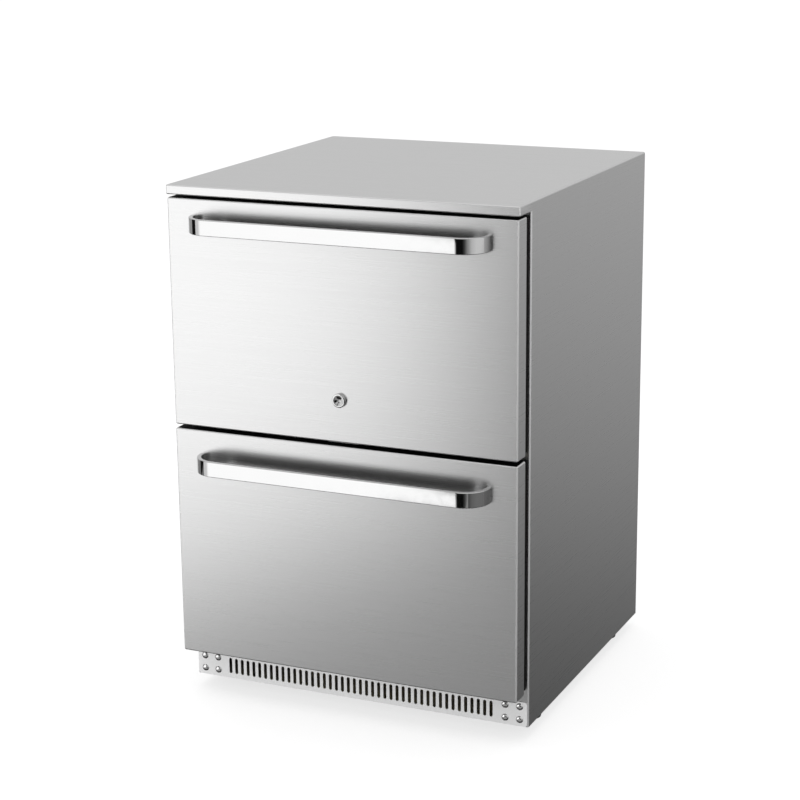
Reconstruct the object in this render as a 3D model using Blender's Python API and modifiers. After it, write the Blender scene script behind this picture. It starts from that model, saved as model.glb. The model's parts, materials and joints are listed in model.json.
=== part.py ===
"""Two-drawer undercounter fridge in stainless steel, in metres.

The origin is on the floor under the middle of the bounding box. +X is to the right of someone
facing the drawers, +Y is to the back and +Z is up. Each object is one separate piece.
"""
import math

import bmesh
import bpy
from mathutils import Vector

# ---- driving dimensions ----
GAP = 0.0003  # between neighbouring pieces
WIDTH = 0.600
DEPTH = 0.606  # drawer fronts to back
FOOT_HEIGHT = 0.022  # floor to the cabinet's lower edge
CABINET_HEIGHT = 0.846
HANDLE_REACH = 0.042  # how far the handles stand out of the drawer fronts
SHEET = 0.0012  # stainless sheet of the cabinet
THIN = 0.001  # sheet of drawer fronts, liner and bins
EDGE_ROUND = 0.0018  # outer bends

HEIGHT = FOOT_HEIGHT + CABINET_HEIGHT
HALF = WIDTH / 2
FRONT = HANDLE_REACH - (DEPTH + HANDLE_REACH) / 2  # plane of the drawer fronts

# cabinet
FACE = 0.049  # depth of the cabinet's front frame behind the drawer fronts
VISOR = 0.016  # height of the top's front lip
FRAME_TOP = HEIGHT - 0.022
BACK_ROOM = 0.002  # left between the foam or the tray and the back panels
FRAME_SIDE = 0.282
CROSSBAR = (0.0648, 0.085)  # welded bar over the grille
LAND = 0.250  # inner edge of the lands that take the grille's screws
GRILLE = (0.0222, 0.0642)
GRILLE_ROUND = 0.005
SLOT_COUNT = 44
SLOT_PITCH = 0.011
SLOT_WIDTH = 0.0055
SLOT_Z = (0.0307, 0.058)

# insulated room
LINER_X = 0.250
LINER_Z = (0.115, 0.818)
LINER_BACK = 0.549
STEP_FACE = 0.335  # front of the hump over the machine room
STEP_TOP = 0.285
FOAM_WALL = 0.037  # foam between hump and machine room
FOAM_FOOT = 0.070
MULLION = (0.4468, 0.4968)
MULLION_DEPTH = 0.040
MULLION_WALL = 0.0015
MULLION_ROUND = 0.002

# openings in the back
LOUVRE_HALF = (0.045, 0.003)
LOUVRE_PITCH = (0.110, 0.014)
LOUVRE_COLUMNS = 4
LOUVRE_ROWS = 8
LOUVRE_FOOT = -0.055  # lowest row, from the cover's middle
INLET_AT = (0.215, 0.215)
INLET_HALF = (0.024, 0.014)
INLET_DEPTH = 0.0237

# drawers
DRAWER_HALF = 0.298
SKIN_DEPTH = 0.033
UPPER_FRONT = (0.475, 0.8478)
LOWER_FRONT = (0.0816, 0.4686)
GASKET_INSET = 0.003
GASKET_WIDTH = 0.014
GASKET_ROUND = 0.004
PANEL_INSET = 0.003
PANEL = 0.0023  # thickness of the inner panel
BIN_HALF = 0.232
UPPER_BIN = (0.505, 0.790)
LOWER_BIN = (0.125, 0.425)
BIN_ROUND = 0.006
BIN_RIM = 0.007
BIN_FRONT = SKIN_DEPTH + GAP + PANEL + GAP  # the bin hangs on the inner panel
UPPER_BIN_BACK = 0.465
LOWER_BIN_BACK = 0.322
UPPER_SLIDE_Z = 0.640
LOWER_SLIDE_Z = 0.372
SLIDE_DEPTH = (0.060, 0.500)
SLIDE_SHEET = 0.0012
SLIDE_OUTER = (0.0125, 0.0225)  # width of the member and half its height
SLIDE_MIDDLE = (0.0115, 0.0205)
SLIDE_INNER_HALF = 0.0150
MIDDLE_CLEAR = 0.0022  # wall to the web of the middle member
INNER_CLEAR = 0.0055  # wall to the lips of the inner member

# handles
HANDLE_HALF = 0.2535
HANDLE_HEIGHT = 0.025
HANDLE_BAR = 0.007
HANDLE_BEND = 0.0415
HANDLE_EDGE = 0.0008
HANDLE_DROP = 0.0378  # top of the drawer front to the middle of the bar
LOWER_HANDLE_DROP = 0.051

# lock
LOCK_Z = 0.544
LOCK_RADIUS = 0.009
LOCK_LENGTH = 0.0245
LOCK_BEZEL = 0.0115
LOCK_PROUD = 0.005
LOCK_DISH = (0.0025, 0.0080)  # bottom and rim of the dished face
LOCK_DISH_DEPTH = 0.0018
KEYWAY_HALF = (0.001, 0.0035)
BOLT_DEPTH = (0.0255, 0.0285)
BOLT_HALF = 0.006
BOLT_LIFT = 0.0002  # drawn back into the drawer front by this much
BOLT_ROOM = 0.0006
BOLT_THROW = 0.014
KEEPER_HALF = 0.027
KEEPER_DEPTH = 0.011
KEEPER_TONGUE = (0.0030, 0.0003)  # below the upper front
KEEPER_FLANGE = (0.0080, -0.0020)

# machine room
TRAY = (0.0235, 0.0250)
ROOM_FLOOR = 0.0303
COMPRESSOR_AT = (0.130, 0.488)
CONDENSER_X = (-0.260, -0.060)
FAN_X = -0.160
FAN_Z = 0.135
EVAPORATOR_FAN_Z = 0.660
SUCTION_X = 0.160
SUCTION_Z = 0.480
SUCTION_HOLE = 0.0055
CHANNEL_HALF = 0.008  # channel for the suction line in the back of the foam
CHANNEL_DEPTH = 0.578

# fins and fans; a fan's sizes are shares of its radius
FIN_HALF = 0.0012
SPINE = 0.012
FAN_HUB = 0.32
BLADE_LENGTH = 0.72
BLADE_WIDTH = 0.42
BLADE_MIDDLE = 0.62
BLADE_SHEET = 0.0018
BLADE_PITCH = math.radians(32)

# feet and controls
FOOT_X = 0.268
FOOT_DEPTHS = (0.143, 0.530)
STUD = 0.005
FOOT_COLLAR = 0.010
FOOT_PAD = 0.018
STUD_TOP = 0.060
PAD_TOP = 0.009
BUTTON_XS = (0.020, 0.038, 0.056)
BUTTON_Z = 0.805
BUTTON_RADIUS = 0.0055
CONTROL_HALF = 0.075
CONTROL_DEPTH = (0.054, 0.090)
CONTROL_HEIGHT = 0.023

for old in list(bpy.data.objects):
    bpy.data.objects.remove(old, do_unlink=True)


def collection(name):
    """A new collection in the scene."""
    made = bpy.data.collections.new(name)
    bpy.context.scene.collection.children.link(made)
    return made


PARTS = collection("under_counter_fridge")
CUTTERS = collection("cutters")


def material(name, colour, roughness, metallic=0.0):
    """A Principled material of one colour."""
    made = bpy.data.materials.new(name)
    made.use_nodes = True
    shader = made.node_tree.nodes["Principled BSDF"]
    shader.inputs["Base Color"].default_value = (*colour, 1.0)
    shader.inputs["Roughness"].default_value = roughness
    shader.inputs["Metallic"].default_value = metallic
    made.diffuse_color = (*colour, 1.0)
    return made


STEEL = material("brushed_steel", (0.62, 0.62, 0.62), 0.32, 1.0)
POLISHED = material("polished_steel", (0.85, 0.85, 0.86), 0.06, 1.0)
GALVANISED = material("galvanised_steel", (0.55, 0.57, 0.58), 0.45, 1.0)
LINER_STEEL = material("liner_steel", (0.66, 0.67, 0.67), 0.35, 1.0)
INNER_PLASTIC = material("inner_plastic", (0.72, 0.73, 0.74), 0.45)
FOAM = material("foam", (0.80, 0.72, 0.48), 0.9)
RUBBER = material("gasket_rubber", (0.015, 0.015, 0.015), 0.6)
BLACK_PAINT = material("black_paint", (0.02, 0.02, 0.02), 0.4)
BLACK_PLASTIC = material("black_plastic", (0.03, 0.03, 0.03), 0.5)
COPPER = material("copper", (0.72, 0.38, 0.24), 0.3, 1.0)
SILVER_PAINT = material("silver_paint", (0.72, 0.72, 0.72), 0.4)
ALUMINIUM = material("aluminium", (0.75, 0.76, 0.77), 0.35, 1.0)
LIGHT = material("lamp_lens", (0.9, 0.9, 0.88), 0.3)
ZINC = material("zinc_steel", (0.6, 0.6, 0.6), 0.35, 1.0)


# ---- modelling helpers; depths are measured back from the drawer fronts ----
def at(x, depth, z):
    """The world point at x, a depth behind the drawer fronts, and z."""
    return Vector((x, FRONT + depth, z))


def keep(obj, surface):
    """Put an object among the parts with its own copy of a material."""
    own = surface.copy()
    own.name = obj.name
    obj.data.materials.clear()
    obj.data.materials.append(own)
    PARTS.objects.link(obj)
    return obj


def hide(obj):
    """Put an object among the cutters."""
    obj.hide_render = True
    obj.display_type = "WIRE"
    CUTTERS.objects.link(obj)
    return obj


def box_mesh(name, low, high):
    """A box between two corners given as x, depth and z, with its origin in the middle."""
    low = at(*low)
    high = at(*high)
    bm = bmesh.new()
    bmesh.ops.create_cube(bm, size=1.0)
    bmesh.ops.scale(bm, vec=high - low, verts=bm.verts)
    mesh = bpy.data.meshes.new(name)
    bm.to_mesh(mesh)
    bm.free()
    obj = bpy.data.objects.new(name, mesh)
    obj.location = (low + high) / 2
    return obj


def box(name, low, high, surface):
    """A box-shaped part."""
    return keep(box_mesh(name, low, high), surface)


def boolean(target, other, operation):
    """Cut or join a target with another object, which becomes a cutter."""
    if not other.users_collection:
        hide(other)
    step = target.modifiers.new(other.name, "BOOLEAN")
    step.operation = operation
    step.solver = "EXACT"
    step.object = other
    return target


def cut(target, other):
    """Take another object's shape out of the target."""
    return boolean(target, other, "DIFFERENCE")


def join(target, other):
    """Add another object's shape to the target."""
    return boolean(target, other, "UNION")


def cut_box(target, low, high):
    """Take a box out of the target."""
    return cut(target, box_mesh(target.name + "_room", low, high))


def join_box(target, low, high):
    """Add a box to the target."""
    return join(target, box_mesh(target.name + "_block", low, high))


def bevel(obj, width, segments=2):
    """Round an object's edges."""
    step = obj.modifiers.new("bevel", "BEVEL")
    step.width = width
    step.segments = segments
    step.limit_method = "ANGLE"
    step.angle_limit = math.radians(40)
    return obj


def as_mesh(curve_obj):
    """Turn a curve object into a welded mesh object of the same name and place."""
    bpy.context.scene.collection.objects.link(curve_obj)
    graph = bpy.context.evaluated_depsgraph_get()
    mesh = bpy.data.meshes.new_from_object(curve_obj.evaluated_get(graph))
    bm = bmesh.new()
    bm.from_mesh(mesh)
    bmesh.ops.remove_doubles(bm, verts=bm.verts, dist=0.00001)
    bmesh.ops.recalc_face_normals(bm, faces=bm.faces)
    bm.to_mesh(mesh)
    bm.free()
    name = curve_obj.name
    place = curve_obj.matrix_world.copy()
    bpy.data.objects.remove(curve_obj, do_unlink=True)
    obj = bpy.data.objects.new(name, mesh)
    obj.matrix_world = place
    return obj


FACING = {
    "Z": (0.0, 0.0, 0.0),
    "Y": (math.pi / 2, 0.0, 0.0),
    "X": (math.pi / 2, 0.0, math.pi / 2),
}


def extruded(name, outlines, thickness, facing, centre):
    """A flat shape with holes, as thick as stated along its facing axis.

    Outline points are (x, z) facing Y, (depth direction, z) facing X and (x, depth direction)
    facing Z, measured from the centre.
    """
    curve = bpy.data.curves.new(name, "CURVE")
    curve.dimensions = "2D"
    curve.fill_mode = "BOTH"
    curve.extrude = thickness / 2
    for outline in outlines:
        spline = curve.splines.new("POLY")
        spline.points.add(len(outline) - 1)
        for point, (u, v) in zip(spline.points, outline):
            point.co = (u, v, 0.0, 1.0)
        spline.use_cyclic_u = True
    obj = bpy.data.objects.new(name, curve)
    obj.location = at(*centre)
    obj.rotation_euler = FACING[facing]
    return as_mesh(obj)


def arc(centre, radius, start, end, steps):
    """Points on an arc, with its angles in degrees."""
    angles = [math.radians(start + (end - start) * i / steps) for i in range(steps + 1)]
    return [(centre[0] + radius * math.cos(a), centre[1] + radius * math.sin(a)) for a in angles]


def rectangle(half_u, half_v, radius=0.0, steps=3):
    """A rectangle about the centre, with round corners if it has a radius."""
    if not radius:
        return [(-half_u, -half_v), (half_u, -half_v), (half_u, half_v), (-half_u, half_v)]
    u = half_u - radius
    v = half_v - radius
    corners = [((u, -v), -90), ((u, v), 0), ((-u, v), 90), ((-u, -v), 180)]
    return [p for centre, start in corners for p in arc(centre, radius, start, start + 90, steps)]


def moved(outline, du, dv):
    """An outline shifted in its own plane."""
    return [(u + du, v + dv) for u, v in outline]


def turned(name, profile, centre, facing="Z", segments=24):
    """A turned piece. The profile's (radius, along) points run from the far end to the near end."""
    mesh = bpy.data.meshes.new(name)
    mesh.from_pydata([(r, 0.0, z) for r, z in profile], [(i, i + 1) for i in range(len(profile) - 1)], [])
    obj = bpy.data.objects.new(name, mesh)
    obj.location = at(*centre)
    obj.rotation_euler = FACING[facing]
    screw = obj.modifiers.new("turn", "SCREW")
    screw.axis = "Z"
    screw.steps = segments
    screw.render_steps = segments
    screw.use_merge_vertices = True
    screw.merge_threshold = 0.00001
    return obj


def disc(name, radius, half, centre, facing="Z", segments=24):
    """A plain round bar about its centre."""
    profile = [(0.0, half), (radius, half), (radius, -half), (0.0, -half)]
    return turned(name, profile, centre, facing, segments)


def tube(name, points, radius, surface):
    """A bent round tube through points given as x, depth and z."""
    curve = bpy.data.curves.new(name, "CURVE")
    curve.dimensions = "3D"
    curve.bevel_depth = radius
    curve.bevel_resolution = 2
    curve.resolution_u = 3
    curve.use_fill_caps = True
    spline = curve.splines.new("BEZIER")
    spline.bezier_points.add(len(points) - 1)
    for knot, place in zip(spline.bezier_points, points):
        knot.co = at(*place)
        knot.handle_left_type = "AUTO"
        knot.handle_right_type = "AUTO"
    return keep(bpy.data.objects.new(name, curve), surface)


def group(name, place):
    """An empty that carries a moving body's pieces."""
    empty = bpy.data.objects.new(name, None)
    empty.location = at(*place)
    PARTS.objects.link(empty)
    return empty


def carry(empty, *pieces):
    """Parent pieces to an empty without moving them."""
    for piece in pieces:
        piece.parent = empty
        piece.location = piece.location - empty.location


def stepped_room(name, grow):
    """The insulated room with its step over the machine room, grown on every side."""
    front = FACE - 0.010
    low = LINER_Z[0] - grow
    top = LINER_Z[1] + grow
    rear = LINER_BACK + grow
    hump = STEP_FACE + grow
    step = STEP_TOP - grow
    outline = [(front, low), (hump, low), (hump, step), (rear, step), (rear, top), (front, top)]
    return extruded(name, [outline], 2 * (LINER_X + grow), "X", (0.0, 0.0, 0.0))


# ---- cabinet ----
def outer_wrap():
    """Top and sides in one folded sheet, with the visor, the front returns and a welded crossbar."""
    over = 2 * EDGE_ROUND
    wrap = box("outer_wrap", (-HALF, 0.0, FOOT_HEIGHT - over), (HALF, DEPTH + over, HEIGHT), STEEL)
    bevel(wrap, EDGE_ROUND)
    cut_box(wrap, (-WIDTH, -0.1, 0.0), (WIDTH, WIDTH * 2, FOOT_HEIGHT))
    cut_box(wrap, (-WIDTH, DEPTH, -0.1), (WIDTH, WIDTH * 2, HEIGHT * 2))
    inside = HALF - SHEET
    cut_box(wrap, (-inside, FACE + SHEET, 0.0), (inside, DEPTH + 0.01, HEIGHT - SHEET))
    cut_box(wrap, (-inside, SHEET, HEIGHT - 2 * VISOR), (inside, FACE, HEIGHT - SHEET))
    cut_box(wrap, (-WIDTH, -over, 0.0), (WIDTH, FACE, HEIGHT - VISOR))
    cut_box(wrap, (-FRAME_SIDE, FACE - over, CROSSBAR[1]), (FRAME_SIDE, FACE + over, FRAME_TOP))
    cut_box(wrap, (-LAND, FACE - over, 0.0), (LAND, FACE + over, CROSSBAR[0]))


def inner_liner():
    """Welded liner: an open-fronted stepped box with a flange round its mouth."""
    liner = keep(stepped_room("inner_liner", 0.0), LINER_STEEL)
    cut_box(liner, (-HALF, 0.0, 0.0), (HALF, FACE, HEIGHT))
    low = (-FRAME_SIDE + GAP, FACE, CROSSBAR[1] + GAP)
    high = (FRAME_SIDE - GAP, FACE + SHEET, FRAME_TOP - GAP)
    join_box(liner, low, high)
    cut(liner, stepped_room("inner_liner_hollow", -THIN))
    hole_at = (SUCTION_X, LINER_BACK, SUCTION_Z)
    cut(liner, disc("liner_suction_hole", SUCTION_HOLE, 0.02, hole_at, "Y", 12))


def foam_insulation():
    """Foam between wrap and liner, with a channel behind for the suction line."""
    front = FACE + SHEET + GAP
    low = FOAM_FOOT
    top = HEIGHT - SHEET - GAP
    rear = DEPTH - BACK_ROOM
    hump = STEP_FACE + FOAM_WALL
    ceiling = STEP_TOP - FOAM_WALL
    outline = [(front, low), (hump, low), (hump, ceiling), (rear, ceiling), (rear, top), (front, top)]
    block = extruded("foam_insulation", [outline], 2 * (HALF - SHEET - GAP), "X", (0.0, 0.0, 0.0))
    foam = keep(block, FOAM)
    cut(foam, stepped_room("foam_hollow", GAP))
    channel_low = (SUCTION_X - CHANNEL_HALF, CHANNEL_DEPTH, ceiling - FOAM_WALL)
    channel_high = (SUCTION_X + CHANNEL_HALF, DEPTH, SUCTION_Z + 1.5 * CHANNEL_HALF)
    cut_box(foam, channel_low, channel_high)
    hole_at = (SUCTION_X, (LINER_BACK + CHANNEL_DEPTH) / 2, SUCTION_Z)
    cut(foam, disc("foam_suction_hole", SUCTION_HOLE, 0.025, hole_at, "Y", 12))


def back_panels():
    """Rear panel over the foam, and the louvred cover of the machine room with the inlet's hole."""
    x = HALF - SHEET - GAP
    split = STEP_TOP - FOAM_WALL
    near = DEPTH - GAP - SHEET
    box("rear_panel", (-x, near, split + GAP), (x, DEPTH - GAP, HEIGHT - SHEET - GAP), GALVANISED)
    low = TRAY[1] + GAP
    high = split - GAP
    middle = (low + high) / 2
    half_u, half_v = LOUVRE_HALF
    louvre = rectangle(half_u, half_v, half_v, 2)
    pitch_x, pitch_z = LOUVRE_PITCH
    first = -(LOUVRE_COLUMNS - 1) / 2 * pitch_x
    holes = [
        moved(louvre, first + column * pitch_x, LOUVRE_FOOT + row * pitch_z)
        for column in range(LOUVRE_COLUMNS)
        for row in range(LOUVRE_ROWS)
    ]
    outline = rectangle(x, (high - low) / 2)
    room = 0.0005
    inlet = rectangle(INLET_HALF[0] + room, INLET_HALF[1] + room)
    inlet = moved(inlet, INLET_AT[0], INLET_AT[1] - middle)
    centre = (0.0, DEPTH - GAP - SHEET / 2, middle)
    keep(extruded("rear_cover", [outline, inlet, *holes], SHEET, "Y", centre), GALVANISED)


def base_tray():
    """Floor of the machine room, with clearance holes for the feet's studs."""
    x = HALF - SHEET - GAP
    low = FACE + SHEET + GAP
    high = DEPTH - BACK_ROOM
    outline = rectangle(x, (high - low) / 2)
    middle = (high + low) / 2
    hole = arc((0.0, 0.0), STUD + 2 * GAP, 0, 337.5, 15)
    holes = [moved(hole, side * FOOT_X, d - middle) for side in (-1, 1) for d in FOOT_DEPTHS]
    thickness = TRAY[1] - TRAY[0]
    centre = (0.0, middle, (TRAY[0] + TRAY[1]) / 2)
    keep(extruded("base_tray", [outline, *holes], thickness, "Z", centre), GALVANISED)


def mullion():
    """Hollow bar across the mouth between the drawers, open at its ends."""
    half_depth = MULLION_DEPTH / 2
    half_height = (MULLION[1] - MULLION[0]) / 2
    tube_outline = rectangle(half_depth, half_height, MULLION_ROUND, 2)
    hollow = rectangle(half_depth - MULLION_WALL, half_height - MULLION_WALL)
    centre = (0.0, FACE + half_depth, (MULLION[0] + MULLION[1]) / 2)
    length = 2 * (LINER_X - THIN - GAP)
    keep(extruded("mullion", [tube_outline, hollow], length, "X", centre), STEEL)


def front_grille():
    """Slotted air grille across the foot of the cabinet, with round corners."""
    half_height = (GRILLE[1] - GRILLE[0]) / 2
    middle = (GRILLE[0] + GRILLE[1]) / 2
    slot_half = (SLOT_Z[1] - SLOT_Z[0]) / 2
    slot = rectangle(SLOT_WIDTH / 2, slot_half, SLOT_WIDTH / 2 - 0.00001, 2)
    slot_middle = (SLOT_Z[0] + SLOT_Z[1]) / 2 - middle
    first = -(SLOT_COUNT - 1) / 2 * SLOT_PITCH
    slots = [moved(slot, first + i * SLOT_PITCH, slot_middle) for i in range(SLOT_COUNT)]
    outline = rectangle(DRAWER_HALF, half_height, GRILLE_ROUND)
    centre = (0.0, FACE - GAP - THIN / 2, middle)
    keep(extruded("front_grille", [outline, *slots], THIN, "Y", centre), SILVER_PAINT)


# ---- drawers ----
def drawer_front(name, span):
    """Skin, foam core, inner panel and gasket of one drawer front."""
    low, high = span
    over = 2 * EDGE_ROUND
    skin = box(name + "_skin", (-DRAWER_HALF, 0.0, low), (DRAWER_HALF, SKIN_DEPTH + over, high), STEEL)
    bevel(skin, EDGE_ROUND)
    cut_box(skin, (-WIDTH, SKIN_DEPTH, 0.0), (WIDTH, WIDTH, HEIGHT))
    inside = DRAWER_HALF - THIN
    cut_box(skin, (-inside, THIN, low + THIN), (inside, SKIN_DEPTH + 0.01, high - THIN))
    x = inside - GAP
    room = THIN + GAP
    core = box(name + "_core", (-x, room, low + room), (x, SKIN_DEPTH - GAP, high - room), FOAM)
    panel_x = DRAWER_HALF - PANEL_INSET
    panel_near = SKIN_DEPTH + GAP
    panel_low = (-panel_x, panel_near, low + PANEL_INSET)
    panel_high = (panel_x, panel_near + PANEL, high - PANEL_INSET)
    panel = box(name + "_inner_panel", panel_low, panel_high, INNER_PLASTIC)
    half_width = DRAWER_HALF - GASKET_INSET
    half_height = (high - low) / 2 - GASKET_INSET
    ring = rectangle(half_width, half_height, GASKET_ROUND, 2)
    hole = rectangle(half_width - GASKET_WIDTH, half_height - GASKET_WIDTH, GASKET_ROUND / 2, 2)
    near = panel_near + PANEL + GAP
    far = FACE - GAP
    centre = (0.0, (near + far) / 2, (low + high) / 2)
    gasket = keep(extruded(name + "_gasket", [ring, hole], far - near, "Y", centre), RUBBER)
    return skin, core, panel, gasket


def handle(name, z):
    """Flat polished bar bent to a bail, with its ends against the drawer front."""
    inner = HANDLE_BEND - HANDLE_BAR
    centre_x = HANDLE_HALF - HANDLE_BEND
    centre_y = HANDLE_BEND - HANDLE_REACH
    root = -GAP
    outside = [(HANDLE_HALF, root)] + arc((centre_x, centre_y), HANDLE_BEND, 0, -90, 10)
    inside = arc((centre_x, centre_y), inner, -90, 0, 8) + [(HANDLE_HALF - HANDLE_BAR, root)]
    right = outside + inside
    mirrored = [(-x, y) for x, y in reversed(right)]
    split = len(inside)
    outline = outside + mirrored[split:] + mirrored[:split] + inside
    bar = keep(extruded(name, [outline], HANDLE_HEIGHT, "Z", (0.0, 0.0, z)), POLISHED)
    bevel(bar, HANDLE_EDGE, 1)
    return bar


def bin_box(name, span, rear):
    """Open-topped food bin with round corners and a rim turned out over the slides."""
    low, high = span
    near = BIN_FRONT
    over = 2 * BIN_ROUND
    tray = box(name, (-BIN_HALF, near, low), (BIN_HALF, rear, high + over), LINER_STEEL)
    bevel(tray, BIN_ROUND)
    cut_box(tray, (-HALF, 0.0, high), (HALF, DEPTH, high + 2 * over))
    rim = BIN_HALF + BIN_RIM
    join_box(tray, (-rim, near, high - 1.5 * THIN), (rim, rear + BIN_RIM, high))
    inside = BIN_HALF - THIN
    room = box_mesh(name + "_hollow", (-inside, near + THIN, low + THIN), (inside, rear - THIN, high + over))
    return cut(tray, bevel(room, BIN_ROUND - THIN))


def slide_member(name, side, z, reach, half_height, web):
    """One channel of a telescopic slide: web and flanges between two distances from the middle."""
    near, far = sorted(reach)
    back = far - SLIDE_SHEET if web == "far" else near + SLIDE_SHEET
    tip = near if web == "far" else far
    root = far if web == "far" else near
    inner = half_height - SLIDE_SHEET
    outline = [
        (root, -half_height),
        (tip, -half_height),
        (tip, -inner),
        (back, -inner),
        (back, inner),
        (tip, inner),
        (tip, half_height),
        (root, half_height),
    ]
    outline = [(side * u, -v) for u, v in outline]
    length = SLIDE_DEPTH[1] - SLIDE_DEPTH[0]
    middle = (SLIDE_DEPTH[0] + SLIDE_DEPTH[1]) / 2
    return keep(extruded(name, [outline], length, "Y", (0.0, middle, z)), ZINC)


def slides(name, z):
    """Outer, middle and inner members on both sides. Returns the middle ones and the inner ones."""
    wall = LINER_X - THIN - GAP
    middles = []
    inners = []
    for side, hand in ((-1, "left"), (1, "right")):
        width, half_height = SLIDE_OUTER
        slide_member(f"{name}_slide_outer_{hand}", side, z, (wall - width, wall), half_height, "far")
        width, half_height = SLIDE_MIDDLE
        reach = (wall - width, wall - MIDDLE_CLEAR)
        middles.append(slide_member(f"{name}_slide_middle_{hand}", side, z, reach, half_height, "far"))
        reach = (BIN_HALF + GAP, wall - INNER_CLEAR)
        inners.append(slide_member(f"{name}_slide_inner_{hand}", side, z, reach, SLIDE_INNER_HALF, "near"))
    return middles, inners


def lock_cylinder():
    """Cylinder with a bezel against the drawer front, a dished face and a keyway."""
    bottom, rim = LOCK_DISH
    edge = 0.0012
    profile = [
        (0.0, LOCK_PROUD - LOCK_DISH_DEPTH),
        (bottom, LOCK_PROUD - LOCK_DISH_DEPTH),
        (rim, LOCK_PROUD),
        (LOCK_BEZEL - edge, LOCK_PROUD),
        (LOCK_BEZEL, LOCK_PROUD - edge),
        (LOCK_BEZEL, GAP),
        (LOCK_RADIUS, GAP),
        (LOCK_RADIUS, -LOCK_LENGTH),
        (0.0, -LOCK_LENGTH),
    ]
    cylinder = keep(turned("lock_cylinder", profile, (0.0, 0.0, LOCK_Z), "Y"), POLISHED)
    half_x, half_z = KEYWAY_HALF
    cut_box(cylinder, (-half_x, -2 * LOCK_PROUD, LOCK_Z - half_z), (half_x, half_z, LOCK_Z + half_z))
    return cylinder


def lock(skin, core, lower_skin, lower_core):
    """Lock cylinder, the bolt that it drives down, and the keeper plate that the bolt passes."""
    cylinder = lock_cylinder()
    cut(skin, disc("lock_hole", LOCK_RADIUS + GAP, 2 * SKIN_DEPTH, (0.0, 0.0, LOCK_Z), "Y"))
    near, far = BOLT_DEPTH
    low = UPPER_FRONT[0]
    top = LOWER_FRONT[1]
    bolt_low = (-BOLT_HALF, near, low + BOLT_LIFT)
    bolt = box("lock_bolt", bolt_low, (BOLT_HALF, far, LOCK_Z + 0.002), ZINC)
    pocket = LOCK_RADIUS + 0.0025
    cut_box(core, (-pocket, -THIN, low), (pocket, 2 * SKIN_DEPTH, LOCK_Z + pocket))
    slot_low = (-BOLT_HALF - BOLT_ROOM, near - BOLT_ROOM)
    slot_high = (BOLT_HALF + BOLT_ROOM, far + BOLT_ROOM)
    cut_box(skin, (*slot_low, low - SHEET), (*slot_high, low + 2 * SHEET))
    cut_box(lower_skin, (*slot_low, top - 2 * SHEET), (*slot_high, top + SHEET))
    cut_box(lower_core, (*slot_low, top - BOLT_THROW), (*slot_high, top + SHEET))
    tongue = (low - KEEPER_TONGUE[0], low - KEEPER_TONGUE[1])
    flange = (low - KEEPER_FLANGE[0], low - KEEPER_FLANGE[1])
    rear = FACE - GAP
    tongue_low = (-KEEPER_HALF, KEEPER_DEPTH, tongue[0])
    keeper = box("keeper_plate", tongue_low, (KEEPER_HALF, rear, tongue[1]), STEEL)
    join_box(keeper, (-KEEPER_HALF, rear - 0.0015, flange[0]), (KEEPER_HALF, rear, flange[1]))
    cut_box(keeper, (*slot_low, low - BOLT_THROW), (*slot_high, low + BOLT_THROW))
    return cylinder, bolt


# ---- refrigeration ----
def fin_block(name, span_x, span_depth, span_z, fins, surface):
    """Heat exchanger: thin upright fins joined by a spine along their backs."""
    x0, x1 = span_x
    pitch = (x1 - x0) / (fins - 1)
    near, far = span_depth
    spine = far - SPINE
    outline = [(x0 - FIN_HALF, far), (x0 - FIN_HALF, near)]
    for i in range(fins):
        x = x0 + i * pitch
        if i:
            outline += [(x - FIN_HALF, spine), (x - FIN_HALF, near)]
        outline += [(x + FIN_HALF, near)]
        if i < fins - 1:
            outline += [(x + FIN_HALF, spine)]
    outline += [(x1 + FIN_HALF, far)]
    centre = (0.0, 0.0, (span_z[0] + span_z[1]) / 2)
    return keep(extruded(name, [outline], span_z[1] - span_z[0], "Z", centre), surface)


def fan(name, radius, depth, centre, surface, blades=5):
    """Axial fan about the Y axis: a hub and pitched blades in one piece."""
    hub = keep(disc(name, radius * FAN_HUB, depth / 2, centre, "Y", 20), surface)
    for i in range(blades):
        angle = 2 * math.pi * i / blades
        size = (radius * BLADE_LENGTH, BLADE_SHEET, radius * BLADE_WIDTH)
        blade = box_mesh(f"{name}_blade_{i}", (0.0, 0.0, 0.0), size)
        middle = radius * BLADE_MIDDLE
        offset = Vector((math.cos(angle) * middle, 0.0, math.sin(angle) * middle))
        blade.location = at(*centre) + offset
        blade.rotation_mode = "XYZ"
        blade.rotation_euler = (BLADE_PITCH, -angle, 0.0)
        join(hub, blade)
    return hub


def compressor():
    """Welded shell on a foot plate with four rubber pads, and its terminal box."""
    cx, cd = COMPRESSOR_AT
    seam = 0.0765
    shell_radius = 0.0735
    profile = [(0.0, 0.088), (0.030, 0.086), (0.055, 0.076), (0.070, 0.054), (shell_radius, 0.020)]
    profile += [(shell_radius, 0.004), (seam, 0.004), (seam, -0.003), (shell_radius, -0.003)]
    profile += [(shell_radius, -0.050), (0.062, -0.078), (0.040, -0.088), (0.0, -0.088)]
    middle_z = 0.127
    shell = keep(turned("compressor", profile, (cx, cd, middle_z), "Z", 28), BLACK_PAINT)
    plate = (0.0385, 0.0410)
    half_x = 0.095
    half_d = 0.065
    join_box(shell, (cx - half_x, cd - half_d, plate[0]), (cx + half_x, cd + half_d, plate[1]))
    for sx in (-1, 1):
        for sd in (-1, 1):
            pad_at = (cx + sx * (half_x - 0.015), cd + sd * (half_d - 0.015), 0.0351)
            join(shell, disc("compressor_rubber", 0.011, 0.0048, pad_at, "Z", 12))
    wide = 0.032
    tall = (0.085, 0.165)
    box_x = cx - seam - 0.0005
    low = (box_x - wide, cd - 0.030, tall[0])
    terminal = box("compressor_terminal_box", low, (box_x - GAP, cd + 0.030, tall[1]), BLACK_PLASTIC)
    bevel(terminal, 0.003)


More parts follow.
